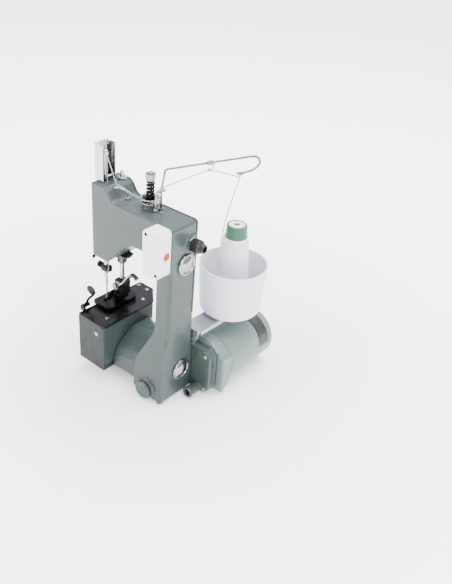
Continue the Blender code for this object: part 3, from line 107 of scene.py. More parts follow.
def make_studio():
    form = bmesh.new()
    bmesh.ops.create_circle(form, cap_ends=True, segments=64, radius=9.0)
    mesh = bpy.data.meshes.new("floor")
    form.to_mesh(mesh)
    form.free()
    floor = bpy.data.objects.new("floor", mesh)
    bpy.context.scene.collection.objects.link(floor)
    paint = bpy.data.materials.new("floor_paint")
    paint.use_nodes = True
    shader = paint.node_tree.nodes["Principled BSDF"]
    shader.inputs["Base Color"].default_value = (0.86, 0.86, 0.86, 1.0)
    shader.inputs["Roughness"].default_value = 0.9
    shader.inputs["Emission Color"].default_value = (1.0, 1.0, 1.0, 1.0)
    tree = paint.node_tree
    place = tree.nodes.new("ShaderNodeTexCoord")
    reach = tree.nodes.new("ShaderNodeVectorMath")
    reach.operation = "LENGTH"
    # The floor glows less near the machine: painted shade round its base, fading into an evenly bright floor further
    # out.
    glow_with_painted_shade = tree.nodes.new("ShaderNodeMapRange")
    for name, value in (("From Min", 0.14), ("From Max", 0.60), ("To Min", 0.45), ("To Max", 2.3)):
        glow_with_painted_shade.inputs[name].default_value = value
    tree.links.new(place.outputs["Object"], reach.inputs[0])
    tree.links.new(reach.outputs["Value"], glow_with_painted_shade.inputs["Value"])
    tree.links.new(glow_with_painted_shade.outputs["Result"], shader.inputs["Emission Strength"])
    floor.data.materials.append(paint)
    world = bpy.data.worlds.new("studio")
    bpy.context.scene.world = world
    world.use_nodes = True
    tree = world.node_tree
    background = tree.nodes["Background"]
    where = tree.nodes.new("ShaderNodeTexCoord")
    split = tree.nodes.new("ShaderNodeSeparateXYZ")
    ramp = tree.nodes.new("ShaderNodeValToRGB")
    ramp.color_ramp.elements[0].position = 0.0
    ramp.color_ramp.elements[0].color = (0.10, 0.10, 0.11, 1.0)
    ramp.color_ramp.elements[1].position = 1.0
    ramp.color_ramp.elements[1].color = (1.0, 1.0, 1.0, 1.0)
    for place, shade in ((0.46, 0.35), (0.60, 0.62), (0.72, 0.95)):
        ramp.color_ramp.elements.new(place).color = (shade, shade, shade * 1.02, 1.0)
    tree.links.new(where.outputs["Generated"], split.inputs[0])
    tree.links.new(split.outputs["Z"], ranged_input(tree, ramp.inputs["Fac"]))
    tree.links.new(ramp.outputs["Color"], background.inputs["Color"])
    background.inputs["Strength"].default_value = 2.1
    middle = Vector((0.0, 0.0, 0.12))
    area_light("key", (-0.7, -1.3, 1.2), middle, (0.8, 1.0), 28.0)
    area_light("side", (1.5, -0.5, 0.9), middle, (0.5, 1.2), 22.0)
    area_light("top", (0.1, 0.4, 1.9), middle, (1.4, 1.2), 92.0)


def ranged_input(tree, target):
    """Socket that takes -1..1 and feeds 0..1 to the target."""
    spread = tree.nodes.new("ShaderNodeMapRange")
    spread.inputs["From Min"].default_value = -1.0
    spread.inputs["From Max"].default_value = 1.0
    tree.links.new(spread.outputs["Result"], target)
    return spread.inputs["Value"]


make_camera()
make_studio()

# ---------------------------------------------------------------- materials

def new_material(name, slot, colour, roughness, metallic=0.0, **more):
    """Principled material whose uniform values sit on the shader itself."""
    material = bpy.data.materials.new(name)
    material.use_nodes = True
    shader = material.node_tree.nodes["Principled BSDF"]
    shader.inputs["Base Color"].default_value = (*colour, 1.0)
    shader.inputs["Roughness"].default_value = roughness
    shader.inputs["Metallic"].default_value = metallic
    for socket, value in more.items():
        shader.inputs[socket.replace("_", " ")].default_value = value
    material["slot"] = slot
    return material


def pattern(material, scale, detail=3.0, stretch=(1.0, 1.0, 1.0), kind="noise", turn=(0.0, 0.0, 0.0)):
    """Texture value in the piece's own coordinates, in metres, so it moves with the piece."""
    tree = material.node_tree
    where = tree.nodes.new("ShaderNodeTexCoord")
    mapping = tree.nodes.new("ShaderNodeMapping")
    mapping.inputs["Scale"].default_value = stretch
    mapping.inputs["Rotation"].default_value = turn
    tree.links.new(where.outputs["Object"], mapping.inputs["Vector"])
    if kind == "noise":
        texture = tree.nodes.new("ShaderNodeTexNoise")
        texture.inputs["Detail"].default_value = detail
        out = texture.outputs["Fac"]
    elif kind == "cells":
        texture = tree.nodes.new("ShaderNodeTexVoronoi")
        out = texture.outputs["Distance"]
    else:
        texture = tree.nodes.new("ShaderNodeTexWave")
        texture.bands_direction = "Z"
        texture.inputs["Distortion"].default_value = 1.0
        texture.inputs["Detail"].default_value = detail
        out = texture.outputs["Fac"]
    texture.inputs["Scale"].default_value = scale
    tree.links.new(mapping.outputs["Vector"], texture.inputs["Vector"])
    return out


def ranged(material, value, low, high, start=0.3, end=0.7):
    tree = material.node_tree
    spread = tree.nodes.new("ShaderNodeMapRange")
    spread.inputs["From Min"].default_value = start
    spread.inputs["From Max"].default_value = end
    spread.inputs["To Min"].default_value = low
    spread.inputs["To Max"].default_value = high
    tree.links.new(value, spread.inputs["Value"])
    return spread.outputs["Result"]


def mix_colour(material, value, first, second):
    """Base colour that goes from first to second with the value; first may be a socket."""
    tree = material.node_tree
    mixer = tree.nodes.new("ShaderNodeMix")
    mixer.data_type = "RGBA"
    tree.links.new(value, mixer.inputs["Factor"])
    if isinstance(first, tuple):
        mixer.inputs["A"].default_value = (*first, 1.0)
    else:
        tree.links.new(first, mixer.inputs["A"])
    mixer.inputs["B"].default_value = (*second, 1.0)
    tree.links.new(mixer.outputs["Result"], tree.nodes["Principled BSDF"].inputs["Base Color"])
    return mixer.outputs["Result"]


def rough(material, value):
    material.node_tree.links.new(value, material.node_tree.nodes["Principled BSDF"].inputs["Roughness"])


def bump(material, value, height, strength=1.0):
    """Surface relief of a height in metres, added to any that the material has already."""
    tree = material.node_tree
    normal = tree.nodes["Principled BSDF"].inputs["Normal"]
    relief = tree.nodes.new("ShaderNodeBump")
    relief.inputs["Strength"].default_value = strength
    relief.inputs["Distance"].default_value = height
    tree.links.new(value, relief.inputs["Height"])
    if normal.links:
        tree.links.new(normal.links[0].from_socket, relief.inputs["Normal"])
    tree.links.new(relief.outputs["Normal"], normal)


def enamel(name, slot, colour, worn):
    """Sprayed enamel on a sand casting: faint mottling, orange peel, and thin paint on the sharpest edges."""
    paint = new_material(name, slot, colour, 0.33,
                         **{"Specular_IOR_Level": 0.25, "Coat_Weight": 0.22, "Coat_Roughness": 0.12})
    pale = tuple(min(1.0, channel * 1.07) for channel in colour)
    dark = tuple(channel * 0.90 for channel in colour)
    base = mix_colour(paint, ranged(paint, pattern(paint, 38.0, 4.0), 0.0, 1.0), dark, pale)
    if worn:
        tree = paint.node_tree
        shape = tree.nodes.new("ShaderNodeNewGeometry")
        edge = ranged(paint, shape.outputs["Pointiness"], 0.0, 0.55, 0.53, 0.60)
        mix_colour(paint, edge, base, tuple(min(1.0, channel * 1.45) for channel in colour))
    rough(paint, ranged(paint, pattern(paint, 160.0, 4.0), 0.27, 0.42))
    bump(paint, pattern(paint, 420.0, 2.0), 0.00016, 0.35)
    bump(paint, pattern(paint, 1500.0, 2.0), 0.00003, 0.35)
    return paint


def metal(name, slot, colour, roughness, stretch=(1.0, 1.0, 14.0), scale=600.0, height=0.00001):
    """Worked metal with fine marks along one direction and a little uneven shine."""
    skin = new_material(name, slot, colour, roughness, 1.0)
    rough(skin, ranged(skin, pattern(skin, scale * 0.2, 4.0, stretch), roughness * 0.7, roughness * 1.5))
    mix_colour(skin, ranged(skin, pattern(skin, 90.0, 3.0), 0.0, 1.0), tuple(c * 0.88 for c in colour), colour)
    bump(skin, pattern(skin, scale, 3.0, stretch), height, 0.5)
    return skin


def moulded(name, slot, colour, roughness, grain=0.00002, scale=1400.0, **more):
    """Moulded plastic or rubber with a fine grain and faint flow variation."""
    skin = new_material(name, slot, colour, roughness, **more)
    mix_colour(skin, ranged(skin, pattern(skin, 45.0, 3.0), 0.0, 1.0), tuple(c * 0.94 for c in colour), colour)
    rough(skin, ranged(skin, pattern(skin, 300.0, 3.0), roughness * 0.85, roughness * 1.2))
    bump(skin, pattern(skin, scale, 2.0), grain, 0.4)
    return skin


ENAMEL = enamel("grey_green_enamel", "grey_green_enamel", (0.034, 0.051, 0.048), True)
COVER_ENAMEL = enamel("grey_green_enamel_plain", "grey_green_enamel", (0.034, 0.051, 0.048), False)
MOTOR_PAINT = enamel("motor_enamel", "motor_enamel", (0.125, 0.170, 0.155), False)
CHROME = metal("chrome", "chrome", (0.50, 0.50, 0.52), 0.09, height=0.000004)
STEEL = metal("bright_steel", "bright_steel", (0.36, 0.36, 0.37), 0.25)
SHEET = metal("sheet_metal", "sheet_metal", (0.42, 0.43, 0.46), 0.28, (1.0, 9.0, 1.0), 500.0)
FRONT_SHEET = metal("front_sheet", "sheet_metal", (0.036, 0.042, 0.041), 0.40, (9.0, 1.0, 1.0), 500.0)
GUN = metal("grey_steel", "blackened_steel", (0.10, 0.10, 0.105), 0.24)
DOME = metal("dome_chrome", "chrome", (0.30, 0.30, 0.31), 0.12, height=0.000004)
LEVER = metal("lever_chrome", "chrome", (0.26, 0.26, 0.27), 0.13)
WIRE = metal("guide_wire", "chrome", (0.16, 0.155, 0.15), 0.16)
DARK = metal("blackened_steel", "blackened_steel", (0.012, 0.012, 0.013), 0.33)
BRASS = metal("brass", "brass", (0.66, 0.52, 0.26), 0.25)
COPPER = metal("copper_winding", "copper_winding", (0.50, 0.22, 0.10), 0.35, (1.0, 30.0, 1.0), 300.0, 0.0002)
BLACK = moulded("black_plastic", "black_plastic", (0.008, 0.008, 0.009), 0.34, Specular_IOR_Level=0.35)
WHITE = moulded("white_plastic", "white_plastic", (0.80, 0.80, 0.835), 0.30, 0.00001, **{"Coat_Weight": 0.2})
CUP = moulded("cup_plastic", "cup_plastic", (0.80, 0.80, 0.90), 0.38, 0.00001, 900.0,
              Transmission_Weight=0.10)
RED = moulded("red_plastic", "red_plastic", (0.46, 0.006, 0.004), 0.30, 0.00001, Specular_IOR_Level=0.3)
RUBBER = moulded("rubber", "rubber", (0.022, 0.022, 0.023), 0.72, 0.00006, 700.0)
NYLON = moulded("nylon", "nylon", (0.74, 0.70, 0.60), 0.45)
GREEN = moulded("cone_tube_plastic", "cone_tube_plastic", (0.018, 0.090, 0.050), 0.50)
CREAM = moulded("cone_top_plastic", "cone_tube_plastic", (0.66, 0.66, 0.56), 0.55)
LINES = metal("rating_lines", "bright_steel", (0.10, 0.10, 0.11), 0.40)
LABEL = moulded("rating_plate_black", "black_plastic", (0.012, 0.012, 0.013), 0.33)


def make_yarn(name, scale, height, angle, shade=1.0):
    """Spun yarn: fine parallel strands at an angle, with loose fibre between them."""
    yarn = new_material(name, "yarn", (0.80, 0.80, 0.82), 0.78, **{"Sheen_Weight": 0.35, "Sheen_Roughness": 0.4})
    strands = pattern(yarn, scale, 1.0, (1.0, 1.0, 1.0), "wave", (angle, 0.0, 0.0))
    mix_colour(yarn, ranged(yarn, strands, 0.0, 1.0, 0.1, 0.9), (0.66 * shade, 0.66 * shade, 0.70 * shade),
               (0.86 * shade, 0.86 * shade, 0.87 * shade))
    bump(yarn, strands, height, 0.8)
    bump(yarn, pattern(yarn, 2500.0, 3.0), 0.00008, 0.5)
    return yarn


YARN = make_yarn("yarn", 210.0, 0.0004, 0.12)
STRAND = make_yarn("strand", 900.0, 0.0002, 0.7, 0.42)

# ---------------------------------------------------------------- mesh tools

def new_object(name, mesh):
    item = bpy.data.objects.new(name, mesh)
    bpy.context.scene.collection.objects.link(item)
    return item


def freeze(item):
    """Apply every modifier of a piece, or turn a curve into a mesh, in world coordinates."""
    bpy.context.view_layer.update()
    graph = bpy.context.evaluated_depsgraph_get()
    mesh = bpy.data.meshes.new_from_object(item.evaluated_get(graph), depsgraph=graph)
    mesh.transform(item.matrix_world)
    name = item.name
    old = item.data
    if item.type == "MESH":
        item.modifiers.clear()
        item.data = mesh
        item.matrix_world = Matrix.Identity(4)
        return item
    bpy.data.objects.remove(item, do_unlink=True)
    bpy.data.curves.remove(old)
    form = bmesh.new()
    form.from_mesh(mesh)
    bmesh.ops.remove_doubles(form, verts=form.verts, dist=1e-6)
    form.to_mesh(mesh)
    form.free()
    return new_object(name, mesh)


def soften(item, width=0.0, segments=3, angle=30.0):
    """Round the sharp edges and even out the shading of the flats."""
    if width:
        rounding = item.modifiers.new("rounding", "BEVEL")
        rounding.width = width * MM
        rounding.segments = segments
        rounding.limit_method = "ANGLE"
        rounding.angle_limit = math.radians(angle)
        rounding.use_clamp_overlap = True
    freeze(item)
    item.data.shade_smooth()
    item.data.set_sharp_from_angle(angle=math.radians(50.0))
    even = item.modifiers.new("even", "WEIGHTED_NORMAL")
    even.keep_sharp = True
    return item


def dress(item, material, body="machine", stands_for=()):
    """Give a piece its finish, the body that it rides on and the CAD nodes that it stands for."""
    item.data.materials.clear()
    item.data.materials.append(material)
    for face in getattr(item.data, "polygons", []):
        face.material_index = 0
    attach(item, body)
    if stands_for:
        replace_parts(item, *stands_for)
    return item


def rounded(corners, steps=6):
    """Outline from (x, y, corner radius) points: each corner becomes an arc of the given radius."""
    outline = []
    count = len(corners)
    for k in range(count):
        here = Vector(corners[k][:2])
        radius = corners[k][2]
        before = Vector(corners[k - 1][:2]) - here
        after = Vector(corners[(k + 1) % count][:2]) - here
        if radius <= 0.0:
            outline.append(here)
            continue
        half = before.angle(after) / 2
        reach = radius / math.tan(half)
        middle = here + (before.normalized() + after.normalized()).normalized() * radius / math.sin(half)
        first = here + before.normalized() * reach - middle
        last = here + after.normalized() * reach - middle
        turn = first.angle_signed(last)
        for step in range(steps + 1):
            outline.append(middle + Matrix.Rotation(-turn * step / steps, 2) @ first)
    return outline


def ring_outline(centre, radius, count=48):
    return [Vector((centre[0] + radius * math.cos(2 * math.pi * k / count),
                    centre[1] + radius * math.sin(2 * math.pi * k / count))) for k in range(count)]


def filleted(profile, radius, steps=3):
    """Profile with its corners rounded, as far as the neighbouring runs allow; points on the axis stay."""
    closed = profile[0][0] > 0.0 and profile[-1][0] > 0.0
    count = len(profile)
    smooth_profile = []
    for k in range(count):
        if not closed and k in (0, count - 1):
            smooth_profile.append(Vector(profile[k]))
            continue
        here = Vector(profile[k])
        before = Vector(profile[k - 1]) - here
        after = Vector(profile[(k + 1) % count]) - here
        bend = before.angle(after)
        if bend > math.radians(155.0):
            smooth_profile.append(here)
            continue
        reach = min(radius / math.tan(bend / 2), before.length * 0.45, after.length * 0.45)
        start = here + before.normalized() * reach
        end = here + after.normalized() * reach
        for step in range(steps + 1):
            t = step / steps
            smooth_profile.append(start * (1 - t) ** 2 + here * (2 * t * (1 - t)) + end * t ** 2)
    return smooth_profile


def lathe(name, axis, centre, profile, steps=72, fillet=0.25):
    """Turned piece. The profile is (radius, place along the axis); centre gives the other two coordinates."""
    points = filleted(profile, fillet) if fillet else [Vector(point) for point in profile]
    closed = profile[0][0] > 0.0 and profile[-1][0] > 0.0
    form = bmesh.new()
    rings = []
    for point in points:
        if point.x < 1e-6:
            rings.append([form.verts.new((0.0, 0.0, point.y * MM))])
            continue
        rings.append([form.verts.new((point.x * MM * math.cos(2 * math.pi * k / steps),
                                      point.x * MM * math.sin(2 * math.pi * k / steps), point.y * MM))
                      for k in range(steps)])
    pairs = list(zip(rings, rings[1:]))
    if closed:
        pairs.append((rings[-1], rings[0]))
    for first, second in pairs:
        for k in range(steps):
            corner = [first[k % len(first)], first[(k + 1) % len(first)],
                      second[(k + 1) % len(second)], second[k % len(second)]]
            corner = list(dict.fromkeys(corner))
            if len(corner) > 2:
                form.faces.new(corner)
    bmesh.ops.recalc_face_normals(form, faces=form.faces)
    mesh = bpy.data.meshes.new(name)
    form.to_mesh(mesh)
    form.free()
    item = new_object(name, mesh)
    spot = list(centre)
    spot["XYZ".index(axis)] = 0.0
    item.matrix_world = Matrix.Translation(at(*spot)) @ AXIS_MATRIX[axis].to_4x4()
    return soften(item)


def prism(name, axis, outlines, start, end, bevel=0.4, segments=3, shaded=True):
    """Flat outline pushed from start to end along an axis; further outlines are holes in it."""
    curve = bpy.data.curves.new(name, "CURVE")
    curve.dimensions = "2D"
    curve.fill_mode = "BOTH"
    curve.extrude = (end - start) / 2 * MM
    for outline in outlines:
        spline = curve.splines.new("POLY")
        spline.points.add(len(outline) - 1)
        for point, spot in zip(spline.points, outline):
            point.co = (spot[0] * MM, spot[1] * MM, 0.0, 1.0)
        spline.use_cyclic_u = True
    item = new_object(name, curve)
    middle = [0.0, 0.0, 0.0]
    middle["XYZ".index(axis)] = (start + end) / 2
    item.matrix_world = Matrix.Translation(at(*middle)) @ OUTLINE_MATRIX[axis].to_4x4()
    item = freeze(item)
    return soften(item, bevel, segments) if shaded else item


def block(name, low, high, bevel=0.5, segments=3, shaded=True):
    form = bmesh.new()
    bmesh.ops.create_cube(form, size=1.0)
    bmesh.ops.scale(form, vec=(Vector(high) - Vector(low)) * MM, verts=form.verts)
    bmesh.ops.translate(form, vec=at(*[(low[k] + high[k]) / 2 for k in range(3)]), verts=form.verts)
    mesh = bpy.data.meshes.new(name)
    form.to_mesh(mesh)
    form.free()
    item = new_object(name, mesh)
    return soften(item, bevel, segments) if shaded else item


def smooth_route(points, per_span=8):
    """Points along a smooth curve through the given ones."""
    knots = [Vector(point) for point in points]
    knots = [knots[0] * 2 - knots[1]] + knots + [knots[-1] * 2 - knots[-2]]
    route = []
    for k in range(1, len(knots) - 2):
        before, start, end, after = knots[k - 1:k + 3]
        for step in range(per_span):
            t = step / per_span
            route.append(0.5 * (2 * start + (end - before) * t
                                + (2 * before - 5 * start + 4 * end - after) * t ** 2
                                + (3 * start - before - 3 * end + after) * t ** 3))
    route.append(knots[-2])
    return route


def wire(name, points, radius, resolution=4):
    """Round wire along points in millimetres, as a mesh with capped ends."""
    curve = bpy.data.curves.new(name, "CURVE")
    curve.dimensions = "3D"
    curve.bevel_depth = radius * MM
    curve.bevel_resolution = resolution
    curve.use_fill_caps = True
    spline = curve.splines.new("POLY")
    spline.points.add(len(points) - 1)
    for point, spot in zip(spline.points, points):
        point.co = (*at(*spot), 1.0)
    item = freeze(new_object(name, curve))
    item.data.shade_smooth()
    item.data.set_sharp_from_angle(angle=math.radians(60.0))
    return item


def helix(centre, radius, low, high, turns, per_turn=28, end_radius=None):
    """Points of an upright coil spring with flat end turns."""
    spots = []
    count = int(turns * per_turn)
    for k in range(count + 1):
        turn = k / per_turn
        live = min(max((turn - 0.8) / (turns - 1.6), 0.0), 1.0)
        reach = radius + ((end_radius or radius) - radius) * live
        angle = 2 * math.pi * turn
        spots.append((centre[0] + reach * math.cos(angle), centre[1] + reach * math.sin(angle),
                      low + (high - low) * live + 1.3 * (min(turn, 0.8) + max(turn - turns + 0.8, 0.0))))
    return spots


def node_copy(name, node):
    """Loose copy of a CAD node's mesh with its doubled points merged."""
    form = bmesh.new()
    form.from_mesh(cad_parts[node].data)
    bmesh.ops.remove_doubles(form, verts=form.verts, dist=1e-6)
    mesh = bpy.data.meshes.new(name)
    form.to_mesh(mesh)
    form.free()
    mesh.materials.clear()
    return new_object(name, mesh)


def refined(name, node, material, body="machine", bevel=0.35, segments=2, angle=35.0):
    """CAD node's own shape with rounded edges."""
    item = node_copy(name, node)
    item.data.set_sharp_from_angle(angle=math.radians(50.0))
    tidy = item.modifiers.new("flats", "DECIMATE")
    tidy.decimate_type = "DISSOLVE"
    tidy.angle_limit = math.radians(1.0)
    return dress(soften(item, bevel, segments, angle), material, body, (node,))


def combine(item, other, operation):
    step = item.modifiers.new(operation.lower(), "BOOLEAN")
    step.operation = operation
    step.solver = "EXACT"
    step.object = other
    freeze(item)
    bpy.data.objects.remove(other, do_unlink=True)
    form = bmesh.new()
    form.from_mesh(item.data)
    bmesh.ops.remove_doubles(form, verts=form.verts, dist=2e-6)
    bmesh.ops.dissolve_degenerate(form, edges=form.edges, dist=2e-6)
    open_edges = [edge for edge in form.edges if len(edge.link_faces) == 1]
    if open_edges:
        bmesh.ops.holes_fill(form, edges=open_edges, sides=8)
    form.to_mesh(item.data)
    form.free()
    return item


def casting(item, nodes, voxel, rounds, faces, material=None):
    """Sand-cast look: edges and inner corners rounded off together, then thinned to a number of triangles."""
    skin = item.modifiers.new("skin", "REMESH")
    skin.mode = "VOXEL"
    skin.voxel_size = voxel * MM
    ease = item.modifiers.new("ease", "SMOOTH")
    ease.factor = 0.5
    ease.iterations = rounds
    freeze(item)
    item.data.calc_loop_triangles()
    share = faces / len(item.data.loop_triangles)
    if share < 1.0:
        thin = item.modifiers.new("thin", "DECIMATE")
        thin.ratio = share
        freeze(item)
    item.data.shade_smooth()
    return dress(item, material or ENAMEL, "machine", nodes)


def screw(name, place, axis, towards, radius, height, slot="cross", material=None, body="machine"):
    """Screw head standing on a face at place; towards is +1 or -1 along the axis."""
    low = place["XYZ".index(axis)]
    top = low + towards * height
    profile = [(0.0, low + towards * 0.01), (radius, low + towards * 0.01), (radius, low + towards * height * 0.55),
               (radius * 0.8, top - towards * height * 0.08), (radius * 0.45, top), (0.0, top)]
    head = lathe(name, axis, place, profile, 40, radius * 0.12)
    head.modifiers.clear()
    depth = height * 0.55
    reach = radius * 0.62
    wide = radius * 0.13
    arms = [(reach, wide)] if slot == "slot" else [(reach, wide), (wide, reach)]
    if slot == "slot":
        arms = [(radius * 1.2, wide)]
    others = [k for k in range(3) if k != "XYZ".index(axis)]
    for number, (long, short) in enumerate(arms):
        tilt = math.radians(28.0)
        low_corner = [0.0, 0.0, 0.0]
        high_corner = [0.0, 0.0, 0.0]
        low_corner[others[0]], high_corner[others[0]] = -long, long
        low_corner[others[1]], high_corner[others[1]] = -short, short
        ends = sorted((top - towards * depth, top + towards * 1.0))
        low_corner["XYZ".index(axis)], high_corner["XYZ".index(axis)] = ends[0] - low, ends[1] - low
        tool = block("%s_cut_%d" % (name, number), low_corner, high_corner, 0.0, 1, False)
        tool.data.transform(Matrix.Translation(-at(0, 0, 0)))
        tool.data.transform(Matrix.Rotation(tilt, 4, axis))
        tool.data.transform(Matrix.Translation(at(*place)))
        combine(head, tool, "DIFFERENCE")
    return dress(soften(head, radius * 0.05, 1), material or STEEL, body)


# ---------------------------------------------------------------- main casting

COLUMN_WIDTH = 22.0
DEPTH = 42.0
WALL = 3.5
ARM_TOP = 238.2
HEAD_LEFT = -129.2
HEAD_TOP = 253.6
HEAD_BOTTOM = 157.4
FRAME_BOTTOM = 4.0
COVER_FRONT = 39.7
NEEDLE = (-122.3, 16.4)
PRESSER = (-111.7, 33.0)
TENSION = (-58.0, 25.0)
BOSS_TOP = 244.6


def arm_outline(inset=0.0, low=FRAME_BOTTOM):
    """Column, arm and head seen from the front; inset moves every side inwards."""
    left = HEAD_LEFT + inset
    top = ARM_TOP - inset
    under = 195.4 + inset
    return rounded([
        (-inset, low, 0.0),
        (-inset, top, max(4.5 - inset, 1.0)),
        (-93.5, top, 9.0),
        (-101.0 - 0.6 * inset, HEAD_TOP - 4.0 - inset, 3.0),
        (-106.5 - 0.6 * inset, HEAD_TOP - inset, 3.0),
        (left, HEAD_TOP - inset, max(3.0 - inset, 0.8)),
        (left, HEAD_BOTTOM + inset, max(2.0 - inset, 0.8)),
        (-103.0 - 0.4 * inset, HEAD_BOTTOM + inset, 3.0),
        (-78.0 - 0.7 * inset, 184.5 + 0.7 * inset, 8.0),
        (-62.0, under, 8.0),
        (-COLUMN_WIDTH + inset, under, 3.0),
        (-COLUMN_WIDTH + inset, low, 0.0),
    ], 8)


def foot_outline(inset=0.0):
    """Flared foot of the column seen from the front."""
    low = FRAME_BOTTOM + inset
    return rounded([
        (-inset, low, 0.0),
        (-inset, 116.0 - inset, 0.0),
        (-21.0 + inset, 114.0 - inset, 2.0),
        (-22.5 + inset, 95.0, 20.0),
        (-33.0 + inset, 73.0, 30.0),
        (-46.0 + inset, 47.0, 20.0),
        (-47.0 + inset, low + 5.0, 6.0),
        (-40.0 + inset, low, 4.0),
    ], 8)


def loft(name, sections):
    """Closed solid through sections that have the same number of points."""
    form = bmesh.new()
    loops = [[form.verts.new(at(*spot)) for spot in section] for section in sections]
    count = len(loops[0])
    for first, second in zip(loops, loops[1:]):
        for k in range(count):
            form.faces.new((first[k], first[(k + 1) % count], second[(k + 1) % count], second[k]))
    form.faces.new(list(reversed(loops[0])))
    form.faces.new(loops[-1])
    bmesh.ops.recalc_face_normals(form, faces=form.faces)
    mesh = bpy.data.meshes.new(name)
    form.to_mesh(mesh)
    form.free()
    return new_object(name, mesh)


def foot_slope(name, inset):
    """Tool that slopes the foot's front back into the column; inset moves the slope inwards."""
    profile = [(-30.0, 52.0, 0), (-10.0 + inset, 58.0, 0), (-9.0 + inset, 68.0, 40.0), (-0.2 + inset, 108.0, 40.0),
               (-0.2 + inset, 150.0, 0), (-30.0, 150.0, 0)]
    return prism(name, "X", [rounded(profile, 8)], -80.0, 20.0, 0, 1, False)


def trumpet_section(x, front, back, low, high, shoulder):
    """Section of the hollow base arm at one place along X, with a flat ridge along its top."""
    middle = (low + high) / 2
    corners = [
        (back, low + 6.0, 4.0), (back, high - 8.0, 4.0), (back - 5.0, high - 2.0, 3.0), (back - 12.0, high, 3.0),
        (front + 32.0, high, 2.0), (front + 24.0, high - 4.0, 3.0), (front + shoulder, middle + 9.0, 7.0),
        (front, middle - 4.0, 8.0), (front - 1.0, low + 11.0, 4.0), (front + 9.0, low + 3.0, 5.0),
        (front + 20.0, low, 4.0), (back - 8.0, low, 4.0),
    ]
    return [(x, y + 0.013, z + 0.017) for y, z in rounded(corners, 4)]


def blended_sections(sections, per_span=8):
    """Sections along a smooth curve through the given ones."""
    routes = [smooth_route(list(corner), per_span) for corner in zip(*sections)]
    return [list(section) for section in zip(*routes)]


def rod(name, axis, centre, start, end, radius, end_radius=None, steps=48):
    """Plain round bar used to build up or cut a casting."""
    far = radius if end_radius is None else end_radius
    item = lathe(name, axis, centre, [(0.0, start), (radius, start), (far, end), (0.0, end)], steps, 0.0)
    return freeze(item)


